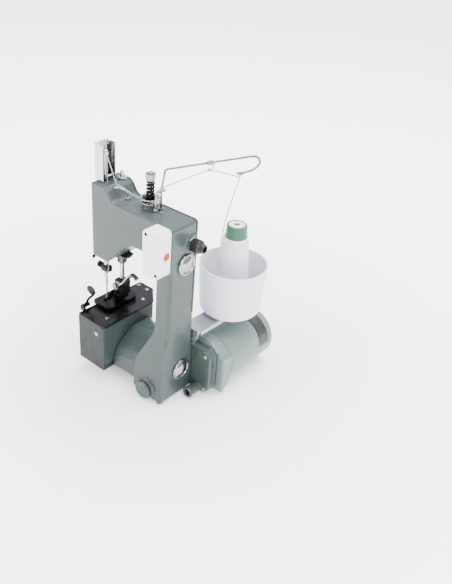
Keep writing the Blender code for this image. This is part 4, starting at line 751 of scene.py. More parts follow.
def make_main_casting():
    body = prism("machine_casting", "Y", [arm_outline()], 0.0, 52.0, 3.2, 6, False)
    rounding = body.modifiers.new("rounding", "BEVEL")
    rounding.width = 2.6 * MM
    rounding.segments = 5
    rounding.limit_method = "ANGLE"
    rounding.angle_limit = math.radians(50.0)
    freeze(body)
    combine(body, block("back_form", (-200, COVER_FRONT - GAP, -10), (50, 80, 300), 0, 1, False), "DIFFERENCE")
    foot = prism("foot_form", "Y", [foot_outline()], -10.0, 44.0, 0.0, 1, False)
    combine(foot, foot_slope("foot_slope_form", 0.0), "DIFFERENCE")
    combine(foot, block("foot_back_form", (-60, 41.8, 70), (10, 60, 140), 0, 1, False), "DIFFERENCE")
    trumpet = loft("trumpet_form", blended_sections([
        trumpet_section(-84.1, -9.0, 62.0, 7.0, 63.0, 5.5),
        trumpet_section(-66.0, -6.5, 49.0, 6.0, 72.0, 6.0),
        trumpet_section(-50.0, -6.0, 43.0, 5.0, 79.0, 6.0),
        trumpet_section(-36.0, -6.0, 42.0, 5.0, 84.0, 4.0),
    ]))
    forms = [
        foot, trumpet,
        rod("boss_form", "Y", (-25.0, 0, 15.5), -12.3, -8.0, 12.9),
        rod("tension_boss_form", "Z", (*TENSION, 0), ARM_TOP - 2.0, BOSS_TOP - 1.2, 9.2, 7.7),
        rod("tension_boss_top_form", "Z", (*TENSION, 0), BOSS_TOP - 2.0, BOSS_TOP, 7.7),
        rod("gland_pad_form", "X", (0, 31.0, 212.5), -1.1, 1.7, 8.8),
        block("gland_pad_square_form", (-1.0, 24.0, 202.0), (1.4, 38.0, 223.0), 0, 1, False),
        rod("guide_boss_form", "Z", (-42.5, 26.5, 0), ARM_TOP - 1.0, ARM_TOP + 1.4, 4.6, 3.6),
        rod("pin_boss_form", "Z", (-43.5, 19.0, 0), ARM_TOP - 1.0, ARM_TOP + 1.0, 3.4, 2.8),
    ]
    foot_cavity = prism("foot_cavity_form", "Y", [foot_outline(WALL)], -6.5, 70.0, 0, 1, False)
    combine(foot_cavity, foot_slope("cavity_slope_form", WALL + 0.4), "DIFFERENCE")
    cuts = [
        prism("cavity_form", "Y", [arm_outline(WALL, 60.0)], WALL + 0.5, 80.0, 0, 1, False),
        foot_cavity,
        block("bracket_clearance_form", (-60.0, DEPTH, 68.0), (20.0, 60.0, 130.0), 0, 1, False),
        rod("trumpet_bore_form", "X", (0, 21.0, 45.0), -100.0, -34.0, 12.0),
        loft("edge_form", [[(-1.0 - s, -3.0, z), (4.0, -3.0, z), (4.0, 1.0 + s, z)]
                           for s, z in ((-0.4, 66.0), (2.8, 92.0), (5.2, 116.0), (6.0, 178.0), (5.6, 184.0))]),
        rod("shaft_hole_form", "Y", (-62.0, 0, 217.0), 2.6, 20.0, 4.3),
        rod("cap_recess_form", "Y", (-25.0, 0, 15.5), -20.0, -10.8, 10.6),
        rod("cap_hole_form", "Y", (-25.0, 0, 15.5), -14.0, 4.0, 6.0),
        rod("upper_plug_form", "X", (0, 24.8, 188.0), -12.0, 12.0, 11.0),
        rod("lower_plug_form", "X", (0, 23.8, 41.0), -12.0, 12.0, 11.0),
        rod("gland_hole_form", "X", (0, 31.0, 212.5), -12.0, 12.0, 4.0),
        rod("upper_bush_form", "Z", (*NEEDLE, 0), 240.0, 270.0, 3.6),
        rod("lower_bush_form", "Z", (*NEEDLE, 0), 150.0, 166.0, 5.3),
        rod("upper_thread_form", "Z", (-114.0, 12.0, 0), 240.0, 270.0, 1.5),
        rod("lower_thread_form", "Z", (-114.0, 12.0, 0), 150.0, 166.0, 1.5),
        rod("adjuster_form", "Z", (*PRESSER, 0), 240.0, 270.0, 4.9),
        rod("presser_bush_form", "Z", (*PRESSER, 0), 150.0, 178.0, 6.0),
        rod("post_form", "Z", (*TENSION, 0), 234.0, 260.0, 2.8),
        rod("guide_form", "Z", (-42.5, 26.5, 0), 225.0, 250.0, 1.7),
        rod("pin_form", "Z", (-43.5, 19.0, 0), 225.0, 250.0, 1.3),
        rod("eyelet_form", "Z", (-89.5, 20.5, 0), 225.0, 260.0, 1.7),
        rod("foot_screw_form", "Z", (-6.2, -4.2, 0), 0.0, 12.0, 2.3),
    ]
    for form in forms:
        combine(body, form, "UNION")
    for form in cuts[:4]:
        combine(body, form, "DIFFERENCE")
    combine(body, rod("rocker_boss_form", "Y", (-62.0, 0, 217.0), 2.0, 13.0, 8.0), "UNION")
    for form in cuts[4:]:
        combine(body, form, "DIFFERENCE")
    casting(body, ["machine_frame"], 0.9, 5, 190000)


def make_rear_cover():
    cover = prism("rear_cover_plate", "Y", [arm_outline(0.0, 69.0)], COVER_FRONT, DEPTH, 0.0, 1, False)
    combine(cover, prism("foot_clearance_form", "Y", [foot_outline(-GAP)], -50.0, 80.0, 0, 1, False), "DIFFERENCE")
    soften(cover, 0.7, 4)
    dress(cover, ENAMEL, "machine", ["rear_cover"])
    for number, spot in enumerate([(-6.5, 230.5), (-52.0, 231.5), (-112.0, 247.0), (-123.0, 205.0), (-122.0, 163.5),
                                   (-84.0, 189.5), (-40.0, 201.5), (-15.5, 165.0), (-6.5, 139.0)]):
        screw("rear_cover_screw_%d" % number, (spot[0], DEPTH, spot[1]), "Y", 1, 3.1, 1.9)


def make_caps():
    profile = smooth_profile([(0.0, 5.6), (2.6, 5.5), (5.4, 4.95), (8.0, 3.9), (10.0, 2.7), (10.9, 2.1)])
    profile += [(11.3, 2.15), (11.9, 2.75), (12.6, 2.8), (13.3, 2.2), (13.5, 1.5), (13.5, GAP), (10.6, GAP),
                (10.6, -WALL), (8.6, -WALL), (8.6, 0.2), (0.0, 3.0)]
    for name, centre in (("upper_access_plug", (0, 24.8, 188.0)), ("lower_access_plug", (0, 23.8, 41.0))):
        dress(lathe(name + "_dome", "X", centre, profile, 96, 0.2), DOME, "machine", [name])
    cap = lathe("shaft_cap", "Y", (-25.0, 0, 15.5),
                [(0.0, -6.2), (5.7, -6.2), (5.7, -11.1), (10.2, -11.1), (10.2, -12.9), (11.9, -12.9),
                 (11.9, -15.6), (11.0, -16.8), (8.2, -16.8), (7.6, -16.2), (3.0, -16.2), (2.4, -16.6), (0.0, -16.6)],
                96, 0.5)
    dress(cap, ENAMEL, "machine", ["front_shaft_cap"])
    foot = lathe("rubber_foot", "Z", (-6.2, -4.2, 0),
                 [(0.0, 11.0), (1.9, 11.0), (1.9, 3.7), (4.3, 3.7), (4.3, 2.8), (4.0, 0.3), (3.7, 0.0), (0.0, 0.0)],
                 48, 0.3)
    dress(foot, RUBBER, "machine", ["front_foot"])


def smooth_profile(points, per_span=5):
    return [(spot.x, spot.y) for spot in smooth_route([(r, h, 0.0) for r, h in points], per_span)]


def make_head_details():
    """Guide plate beside the presser bush and the thread clip at the head's lower front corner."""
    plate = prism("bush_plate", "Z", [rounded([(-119.0, 22.0, 2.0), (-97.0, 22.0, 3.0), (-94.0, 30.0, 3.0),
                                               (-97.0, 39.0, 3.0), (-119.0, 39.0, 2.0)], 6),
                                      ring_outline(PRESSER, 6.8, 48)], 155.2, 157.2, 0.5, 3)
    dress(plate, ENAMEL)
    clip = block("thread_clip", (-129.6, -0.9, 153.2), (-126.6, 2.4, 157.2), 0.6, 3)
    dress(clip, DARK)


make_main_casting()
make_rear_cover()
make_caps()
make_head_details()

# ---------------------------------------------------------------- base box and throat plate

def box_outline(inset=0.0, steps=8):
    left, right, front, back = -130.7 + inset, -84.4 - inset, -25.2 + inset, 84.2 - inset
    return rounded([
        (left, front, max(2.0 - inset, 0.5)), (right, front, max(4.0 - inset, 1.0)), (right, 62.9, 4.0),
        (-106.0 - 0.4 * inset, back, 4.0), (left, back, max(3.0 - inset, 0.8))], steps)


def make_base_box():
    body = prism("looper_box_casting", "Z", [box_outline(0.6), box_outline(3.6)], 23.5, 79.1, 0, 1, False)
    combine(body, block("box_front_form", (-140, -40, 0), (-70, -25.2 + 1.8, 100), 0, 1, False), "DIFFERENCE")
    combine(body, rod("looper_bush_form", "X", (0, 20.0, 50.0), -95.0, -80.0, 4.3), "DIFFERENCE")
    dress(soften(body, 0.5, 3), COVER_ENAMEL, "machine", ["looper_box"])
    cover = prism("front_cover_plate", "Y", [rounded([(-130.7, 15.5, 1.2), (-84.4, 15.5, 1.2), (-84.4, 79.1, 1.2),
                                                      (-130.7, 79.1, 1.2)], 6)], -24.5, -23.7, 0.25, 3)
    dress(cover, FRONT_SHEET, "machine", ["box_front_cover"])
    screw("front_cover_screw", (-97.7, -24.5, 66.5), "Y", -1, 2.9, 0.7, "slot")
    low = prism("bottom_cover_shell", "Z", [box_outline(0.8)], 15.5, 23.2, 1.8, 6)
    combine(low, prism("bottom_hollow_form", "Z", [box_outline(4.0)], 18.1, 30.0, 0, 1, False), "DIFFERENCE")
    combine(low, block("bottom_front_form", (-140, -40, 0), (-70, -23.4, 30), 0, 1, False), "DIFFERENCE")
    for number, (x, y) in enumerate([(-119.0, 10.0), (-119.0, 66.0)]):
        combine(low, rod("box_foot_form_%d" % number, "Z", (x, y, 0), 0.0, 16.5, 6.0, 7.0), "UNION")
    dress(soften(low, 0.3, 2), BLACK, "machine", ["bottom_cover"])


def make_throat_plate():
    slot = rounded([(-120.2, 2.0, 1.2), (-114.6, 2.0, 1.2), (-114.6, 50.0, 1.2), (-120.2, 50.0, 1.2)], 5)
    knife_slot = rounded([(-128.6, -14.0, 0.9), (-126.4, -14.0, 0.9), (-126.4, 0.0, 0.9), (-128.6, 0.0, 0.9)], 5)
    screws = [(-97.4, -6.5), (-97.5, 56.7), (-111.0, 77.5), (-126.5, 77.8), (-128.0, 59.3)]
    holes = [ring_outline(spot, 2.75, 32) for spot in screws]
    plate = prism("throat_plate_ground", "Z", [box_outline(), slot, knife_slot, ring_outline(NEEDLE, 2.6, 32),
                                               ring_outline((-116.3, 68.3), 1.2, 24), *holes],
                  79.4, 82.0, 0.3, 3)
    dress(plate, PLATE, "machine", ["throat_plate"])
    for number, (x, y) in enumerate(screws):
        head = lathe("throat_screw_%d" % number, "Z", (x, y, 0),
                     [(0.0, 79.6), (1.4, 79.6), (2.55, 81.6), (2.55, 82.05), (1.6, 82.35), (0.0, 82.45)], 40, 0.15)
        tilt = Matrix.Rotation(math.radians(20.0 + 47.0 * number), 4, "Z")
        tool = block("throat_screw_slot_%d" % number, (-3.2, -0.42, 81.3), (3.2, 0.42, 83.0), 0, 1, False)
        tool.data.transform(Matrix.Translation(at(x, y, 0)) @ tilt @ Matrix.Translation(-at(0, 0, 0)))
        combine(head, tool, "DIFFERENCE")
        dress(soften(head), STEEL)
    bracket = block("cutter_bracket", (-131.0, -16.5, 82.0), (-123.5, -14.6, 84.0), 0, 1, False)
    combine(bracket, prism("cutter_ear_form", "Y", [rounded([(-136.4, 81.0, 1.5), (-129.0, 81.0, 1.0),
                                                             (-129.0, 86.0, 3.0), (-131.8, 89.0, 2.2),
                                                             (-136.4, 89.0, 2.6)], 6)],
                           -16.5, -13.6, 0, 1, False), "UNION")
    combine(bracket, rod("cutter_pin_form", "Y", (-134.2, 0, 85.6), -15.0, -4.0, 1.3), "UNION")
    dress(soften(bracket, 0.25, 3), DARK)


PLATE = metal("ground_plate", "blackened_steel", (0.028, 0.028, 0.031), 0.30, (1.0, 12.0, 1.0), 500.0)
make_base_box()
make_throat_plate()

# ---------------------------------------------------------------- gear housing and motor

MOTOR = (6.7, 37.0)
SHAFT = (-21.0, 41.0)


def housing_outline(inset=0.0):
    return rounded([
        (-46.0 + inset, 5.0 + inset, max(10.0 - inset, 2.0)),
        (24.0 - inset, 2.0 + inset, max(8.0 - inset, 2.0)),
        (31.5 - inset, 14.0, 6.0),
        (30.5 - inset, 58.0, 6.0),
        (24.0 - inset, 67.0 - inset, max(7.0 - inset, 2.0)),
        (-38.0 + inset, 67.0 - inset, max(12.0 - inset, 2.0)),
        (-46.0 + inset, 56.0, 8.0),
    ], 8)


def make_gear_housing():
    front = prism("gear_housing_front_casting", "Y", [housing_outline(1.4)], 44.3, 58.0, 0, 1, False)
    combine(front, prism("front_flange_form", "Y", [housing_outline()], 54.2, 58.0, 0, 1, False), "UNION")
    combine(front, rod("lug_form", "Y", (12.0, 0, 8.6), 25.5, 46.0, 6.6), "UNION")
    combine(front, rod("lug_collar_form", "Y", (12.0, 0, 8.6), 25.5, 28.5, 7.4), "UNION")
    for number, (x, z) in enumerate(HOUSING_SCREWS):
        combine(front, rod("front_boss_form_%d" % number, "Y", (x, 0, z), 46.0, 58.0, 4.4), "UNION")
    combine(front, prism("front_hollow_form", "Y", [housing_outline(4.0)], 48.1, 80.0, 0, 1, False), "DIFFERENCE")
    combine(front, rod("bearing_boss_form", "Y", (SHAFT[0], 0, SHAFT[1]), 33.5, 49.0, 11.5), "UNION")
    combine(front, rod("bearing_bore_form", "Y", (SHAFT[0], 0, SHAFT[1]), 20.0, 60.0, 8.3), "DIFFERENCE")
    combine(front, rod("lug_bore_form", "Y", (12.0, 0, 8.6), 10.0, 40.0, 4.4), "DIFFERENCE")
    combine(front, block("ground_front_form", (-80, 20, -10), (80, 90, 2.0), 0, 1, False), "DIFFERENCE")
    casting(front, ["gear_housing_front"], 0.7, 4, 120000)
    rear = prism("gear_housing_rear_casting", "Y", [housing_outline(1.4)], 58.3, 66.0, 0, 1, False)
    combine(rear, prism("rear_flange_form", "Y", [housing_outline()], 58.3, 62.0, 0, 1, False), "UNION")
    neck = lathe("motor_neck_form", "Y", (MOTOR[0], 0, MOTOR[1]),
                 [(0.0, 76.0), (33.6, 76.0), (34.0, 75.6), (34.0, 60.0), (0.0, 60.0)], 128, 0.6)
    combine(rear, freeze(neck), "UNION")
    shoulder = prism("shoulder_form", "X", [rounded([
        (58.5, 5.0, 0.0), (71.0, 12.0, 5.0), (76.0, 22.0, 6.0), (76.0, 53.0, 3.5), (58.5, 56.5, 0.0)], 6)],
        20.0, 39.5, 1.4, 4)
    combine(rear, freeze(shoulder), "UNION")
    ridge = prism("shoulder_ridge_form", "X", [rounded([
        (58.5, 54.0, 0.0), (70.0, 54.0, 2.0), (69.0, 58.0, 2.0), (58.5, 61.5, 0.0)], 5)], 16.0, 33.5, 0.8, 3)
    combine(rear, freeze(ridge), "UNION")
    for number, (x, z) in enumerate(HOUSING_SCREWS):
        combine(rear, rod("rear_boss_form_%d" % number, "Y", (x, 0, z), 58.3, 66.0, 4.4), "UNION")
    combine(rear, prism("rear_hollow_form", "Y", [housing_outline(4.0)], 50.0, 62.8, 0, 1, False), "DIFFERENCE")
    combine(rear, rod("neck_hollow_form", "Y", (MOTOR[0], 0, MOTOR[1]), 60.0, 72.5, 26.0), "DIFFERENCE")
    combine(rear, rod("motor_bearing_form", "Y", (MOTOR[0], 0, MOTOR[1]), 60.0, 90.0, 3.3), "DIFFERENCE")
    combine(rear, block("ground_rear_form", (-80, 50, -10), (80, 90, 2.4), 0, 1, False), "DIFFERENCE")
    casting(rear, ["gear_housing_rear"], 0.7, 4, 120000, MOTOR_PAINT)
    for number, (x, z) in enumerate(HOUSING_SCREWS):
        screw("housing_screw_%d" % number, (x, 45.9, z), "Y", -1, 3.0, 1.9, "slot", BRASS)


def make_motor():
    centre = (MOTOR[0], 0, MOTOR[1])
    shell = lathe("motor_shell_drawn", "Y", centre,
                  [(34.0, 156.0), (34.0, 152.6), (33.6, 152.2), (33.6, 151.4), (34.0, 151.0), (34.0, 80.6),
                   (33.6, 80.2), (33.6, 79.4), (34.0, 79.0), (34.0, 76.3), (31.5, 76.3), (31.5, 156.0)], 160, 0.2)
    dress(shell, MOTOR_PAINT, "machine", ["motor_shell"])
    cap = lathe("motor_cap_cast", "Y", centre,
                [(0.0, 163.0), (26.0, 163.0), (30.0, 162.6), (32.4, 161.4), (33.6, 159.6), (34.0, 157.8),
                 (34.0, 156.3), (29.5, 156.3), (29.5, 159.5), (9.0, 159.5), (9.0, 153.0), (3.3, 153.0),
                 (3.3, 160.5), (0.0, 160.5)], 128, 0.4)
    for k in range(12):
        angle = 2 * math.pi * k / 12
        hole = prism("vent_form_%d" % k, "Y", [rounded([(-2.0, 12.5, 1.9), (2.0, 12.5, 1.9), (2.6, 25.0, 2.3),
                                                        (-2.6, 25.0, 2.3)], 5)], 150.0, 170.0, 0, 1, False)
        hole.data.transform(Matrix.Translation(at(MOTOR[0], 0, MOTOR[1])) @ Matrix.Rotation(angle, 4, "Y")
                            @ Matrix.Translation(-at(0, 0, 0)))
        combine(cap, hole, "DIFFERENCE")
    dress(soften(cap), MOTOR_PAINT, "machine", ["motor_end_cap"])
    for k in range(3):
        angle = math.radians(90.0 + 120.0 * k)
        spot = (MOTOR[0] + 29.6 * math.cos(angle), 161.6, MOTOR[1] + 29.6 * math.sin(angle))
        screw("cap_screw_%d" % k, spot, "Y", 1, 2.0, 1.3)
    pad = block("motor_support", (MOTOR[0] - 11.0, 128.0, 0.0), (MOTOR[0] + 11.0, 146.0, 7.5), 0, 1, False)
    combine(pad, rod("saddle_form", "Y", centre, 100.0, 170.0, 34.3, steps=160), "DIFFERENCE")
    dress(soften(pad, 0.8, 4), RUBBER, "machine", ["motor_support_pad"])


def curved_patch(name, radius, thick, y_low, y_high, start, end, material, corner=1.2):
    """Thin plate wrapped round the motor between two angles above the +X direction."""
    arc = math.radians(end - start) * radius
    flat = prism(name, "Z", [rounded([(0, y_low, corner), (arc, y_low, corner), (arc, y_high, corner),
                                      (0, y_high, corner)], 5)], 0.0, thick, 0, 1, False)
    form = bmesh.new()
    form.from_mesh(flat.data)
    bmesh.ops.triangulate(form, faces=form.faces)
    for _ in range(4):
        long_edges = [edge for edge in form.edges if edge.calc_length() > 1.6 * MM]
        if long_edges:
            bmesh.ops.subdivide_edges(form, edges=long_edges, cuts=1)
            bmesh.ops.triangulate(form, faces=form.faces)
    for vertex in form.verts:
        along = vertex.co / MM - ORIGIN
        angle = math.radians(start) + along.x / radius
        reach = radius + along.z
        vertex.co = at(MOTOR[0] + reach * math.cos(angle), along.y, MOTOR[1] + reach * math.sin(angle))
    bmesh.ops.recalc_face_normals(form, faces=form.faces)
    form.to_mesh(flat.data)
    form.free()
    return dress(soften(flat), material)


def make_rating_plate():
    """Rating plate with plain bars where the maker's lines would be."""
    curved_patch("rating_plate", 34.05, 0.45, 132.5, 150.5, 3.0, 76.0, LABEL)
    for k, reach in enumerate([15.0, 9.5, 14.0, 12.0, 8.0, 13.5, 15.0, 11.0, 14.5, 7.5, 13.0, 10.5, 14.0]):
        low = 8.5 + 4.8 * k
        curved_patch("rating_bar_%d" % k, 34.5, 0.08, 135.2, 135.2 + 0.85 * reach, low, low + 1.5, LINES, 0.3)
    for k, (y, angle) in enumerate([(133.9, 5.6), (149.1, 5.6), (133.9, 73.4), (149.1, 73.4)]):
        curved_patch("rating_rivet_%d" % k, 34.5, 0.45, y - 0.7, y + 0.7, angle - 1.2, angle + 1.2, STEEL, 0.65)


HOUSING_SCREWS = [(21.5, 58.5), (22.5, 9.0), (-36.5, 12.5), (-34.0, 58.5)]
make_gear_housing()
make_motor()
make_rating_plate()

# ---------------------------------------------------------------- switch box and cable gland

def make_switch():
    outline = rounded([(-25.4, 183.3, 5.0), (-0.9, 183.3, 5.0), (-0.9, 239.0, 5.0), (-25.4, 239.0, 5.0)], 10)
    body = prism("switch_case", "Y", [outline], -19.1, -GAP, 1.6, 6)
    inner = rounded([(-23.4, 185.3, 3.0), (-2.9, 185.3, 3.0), (-2.9, 237.0, 3.0), (-23.4, 237.0, 3.0)], 8)
    combine(body, prism("case_hollow_form", "Y", [inner], -17.1, 5.0, 0, 1, False), "DIFFERENCE")
    combine(body, rod("button_hole_form", "X", (0, -8.0, 210.0), -10.0, 5.0, 4.5), "DIFFERENCE")
    for number, (x, z) in enumerate([(-21.0, 233.4), (-5.4, 188.4)]):
        combine(body, rod("case_counterbore_%d" % number, "Y", (x, 0, z), -25.0, -18.3, 2.5), "DIFFERENCE")
    dress(soften(body), WHITE, "machine", ["switch_box"])
    for number, (x, z) in enumerate([(-21.0, 233.4), (-5.4, 188.4)]):
        screw("case_screw_%d" % number, (x, -18.25, z), "Y", -1, 2.1, 0.6, "cross", DARK)
    collar = lathe("button_collar", "X", (0, -8.0, 210.0),
                   [(6.3, -0.85), (6.3, -0.2), (5.6, 0.4), (4.6, 0.4), (4.6, -0.85)], 64, 0.2)
    dress(collar, WHITE)
    button = lathe("red_button", "X", (0, -8.0, 210.0),
                   smooth_profile([(0.0, 2.3), (1.6, 2.2), (3.0, 1.75), (3.9, 0.9), (4.2, 0.0)])
                   + [(4.2, -4.6), (2.0, -4.6), (2.0, -6.5), (0.0, -6.5)], 64, 0.15)
    dress(button, RED, "button", ["switch_button"])


def fluted_outline(centre, outer, inner, flutes, per_flute=8):
    """Round outline with soft ribs."""
    count = flutes * per_flute
    outline = []
    for k in range(count):
        angle = 2 * math.pi * k / count
        wave = 0.5 + 0.5 * math.cos(2 * math.pi * k / per_flute)
        reach = inner + (outer - inner) * min(1.0, 1.5 * wave)
        outline.append((centre[0] + reach * math.cos(angle), centre[1] + reach * math.sin(angle)))
    return outline


def make_gland():
    centre = (31.0, 212.5)
    grip = prism("gland_cap", "X", [fluted_outline(centre, 8.1, 7.45, 20), ring_outline(centre, 3.7, 48)],
                 4.6, 13.0, 0.3, 2)
    dress(grip, BLACK)
    nose = lathe("gland_sleeve", "X", (0, *centre),
                 [(4.2, 20.4), (4.9, 20.2), (5.4, 19.4), (5.5, 18.6), (5.1, 18.3), (5.1, 17.7), (5.7, 17.4),
                  (5.9, 16.4), (5.4, 16.1), (5.4, 15.5), (6.2, 15.1), (7.3, 14.0), (7.5, 13.1), (3.6, 13.1),
                  (3.6, 20.4)], 72, 0.18)
    dress(nose, BLACK, "machine", ["cable_gland"])
    flats = [(centre[0] + 9.2 * math.cos(math.radians(60.0 * k + 12.0)),
              centre[1] + 9.2 * math.sin(math.radians(60.0 * k + 12.0)), 1.2) for k in range(6)]
    nut = prism("gland_nut", "X", [rounded(flats, 4), ring_outline(centre, 3.7, 48)], 2.0, 4.5, 0.5, 3)
    dress(nut, CHROME)


make_switch()
make_gland()

# ---------------------------------------------------------------- thread stand

CUP_CENTRE = (0.0, 114.0, 0.0)


def make_thread_stand():
    top = 90.6
    deck = prism("bracket_deck", "Z", [rounded([(-15.5, 45.5, 1.0), (9.0, 45.5, 1.0), (13.5, 128.0, 10.0),
                                                (-13.5, 128.0, 10.0)], 8), ring_outline((0.0, 114.0), 3.3, 32)],
                 top - 2.4, top, 0, 1, False)
    leg = prism("bracket_leg_form", "Y", [rounded([
        (-15.5, top, 0.0), (-15.5, 71.0, 3.0), (5.0, 71.0, 4.0), (9.0, 80.0, 3.0), (9.0, top, 0.0)], 6)],
        42.3, 44.0, 0, 1, False)
    bend = prism("bracket_bend_form", "X", [rounded([
        (42.3, 84.0, 0.0), (44.0, 84.0, 0.0), (44.0, 86.2, 0.0), (45.8, 88.2, 1.8), (47.0, 88.2, 0.0),
        (47.0, top, 0.0), (42.3, top, 3.2)], 8)], -15.4, 8.9, 0, 1, False)
    combine(deck, leg, "UNION")
    combine(deck, block("deck_trim_form", (-30, 40.0, 84.0), (30, 46.2, 95.0), 0, 1, False), "DIFFERENCE")
    combine(deck, bend, "UNION")
    lip = prism("bracket_lip_form", "X", [[(48.0, top - 1.2), (124.0, top - 1.2), (124.0, top - 4.2),
                                           (48.0, top - 6.8)]], 8.6, 10.2, 0, 1, False)
    shear = Matrix(((1, 4.3 / 82.5, 0, 0), (0, 1, 0, 0), (0, 0, 1, 0), (0, 0, 0, 1)))
    pin = Matrix.Translation(at(0.0, 48.0, 0.0))
    lip.data.transform(pin @ shear @ pin.inverted())
    combine(deck, lip, "UNION")
    dress(soften(deck, 0.5, 3), SHEET, "machine", ["cup_bracket"])
    for number, (x, z) in enumerate([(-11.5, 77.5), (-4.0, 77.5)]):
        screw("bracket_screw_%d" % number, (x, 44.0, z), "Y", 1, 2.4, 1.5)


def make_cup():
    low, rim = 91.0, 155.5
    lean = (42.0 - 38.3) / (rim - low)
    profile = [(3.3, low), (33.8, low), (35.6, low + 0.3), (37.3, low + 1.7), (38.35, low + 4.0),
               (38.3 + lean * 6.5, low + 6.5), (42.0 - lean * 4.0, rim - 4.0), (42.0 - lean * 3.6, rim - 3.6),
               (42.15, rim - 3.2), (42.2, rim - 0.8), (41.8, rim), (40.9, rim), (40.4, rim - 0.5),
               (42.0 - 1.6 - lean * 2.0, rim - 2.0), (38.3 + lean * 7.0 - 1.7, low + 7.0), (36.5, low + 4.3),
               (34.8, low + 2.2), (33.3, low + 1.6), (3.3, low + 1.6)]
    cup = lathe("thread_cup_moulded", "Z", CUP_CENTRE, profile, 160, 0.4)
    dress(cup, CUP, "machine", ["thread_cup"])
    peg = lathe("cone_peg_turned", "Z", CUP_CENTRE,
                [(0.0, 176.0), (1.2, 175.8), (2.2, 174.6), (3.0, 172.0), (3.0, 95.6), (7.0, 95.2), (7.0, 92.9),
                 (3.0, 92.9), (3.0, 87.9), (6.0, 87.9), (6.0, 82.0), (0.0, 82.0)], 48, 0.2)
    dress(peg, STEEL, "machine", ["cone_peg"])


def make_cone():
    tube = lathe("cone_tube_moulded", "Z", CUP_CENTRE,
                 [(10.3, 207.5), (11.2, 207.5), (11.8, 207.1), (12.1, 206.2), (12.3, 204.5), (12.9, 196.5),
                  (13.2, 190.5), (17.3, 97.0), (16.3, 97.0), (10.0, 205.6), (10.0, 206.6), (10.3, 206.9)],
                 120, 0.25)
    dress(tube, GREEN, "machine", ["cone_tube"])
    disc = lathe("cone_top_disc", "Z", CUP_CENTRE,
                 [(3.4, 207.2), (9.2, 207.2), (9.9, 206.95), (9.9, 205.9), (3.4, 205.9)], 96, 0.2)
    dress(disc, CREAM)
    hub = lathe("cone_top_hub", "Z", CUP_CENTRE, [(0.0, 206.7), (3.1, 206.7), (3.1, 205.2), (0.0, 205.2)], 48, 0.2)
    dress(hub, GREEN)
    steps, rings = 240, 300
    low, high = 98.6, 191.5
    form = bmesh.new()
    loops = []
    for row in range(rings + 1):
        share = row / rings
        z = low + (high - low) * share
        if share < 0.03:
            reach = 21.0 + 1.6 * math.sin(share / 0.03 * math.pi / 2)
        elif share > 0.965:
            reach = 13.9 + 1.7 * math.cos((share - 0.965) / 0.035 * math.pi / 2)
        else:
            reach = 22.6 + (15.6 - 22.6) * (share - 0.03) / 0.935
        reach += 0.25 * math.sin(share * math.pi) * math.sin(share * 9.0)
        fade = min(1.0, share / 0.03, (1.0 - share) / 0.035)
        loop = []
        for k in range(steps):
            angle = 2 * math.pi * k / steps
            up = math.sin(11.0 * angle + 2 * math.pi * z / 2.9)
            down = math.sin(11.0 * angle - 2 * math.pi * z / 2.9)
            ridge = 0.11 * max(up, down) * fade
            loop.append(form.verts.new(at((reach + ridge) * math.cos(angle), 114.0 + (reach + ridge) * math.sin(angle),
                                          z)))
        loops.append(loop)
    for radius, height in ((13.5, high), (17.9, low)):
        loop = [form.verts.new(at(radius * math.cos(2 * math.pi * k / steps),
                                  114.0 + radius * math.sin(2 * math.pi * k / steps), height)) for k in range(steps)]
        loops.append(loop) if height == high else loops.insert(0, loop)
    loops.append(loops[0])
    for first, second in zip(loops, loops[1:]):
        for k in range(steps):
            form.faces.new((first[k], first[(k + 1) % steps], second[(k + 1) % steps], second[k]))
    bmesh.ops.recalc_face_normals(form, faces=form.faces)
    mesh = bpy.data.meshes.new("yarn_package")
    form.to_mesh(mesh)
    form.free()
    package = new_object("yarn_package", mesh)
    package.data.shade_smooth()
    dress(package, YARN, "machine", ["thread_cone"])


make_thread_stand()
make_cup()
make_cone()

# ---------------------------------------------------------------- needle, presser and cutter

def knurled(name, axis, centre, start, end, radius, ribs, hole=0.0):
    """Grip with fine ribs along its axis."""
    outlines = [fluted_outline(centre, radius, radius - 0.35, ribs, 6)]
    if hole:
        outlines.append(ring_outline(centre, hole, 40))
    return prism(name, axis, outlines, start, end, 0.3, 2)


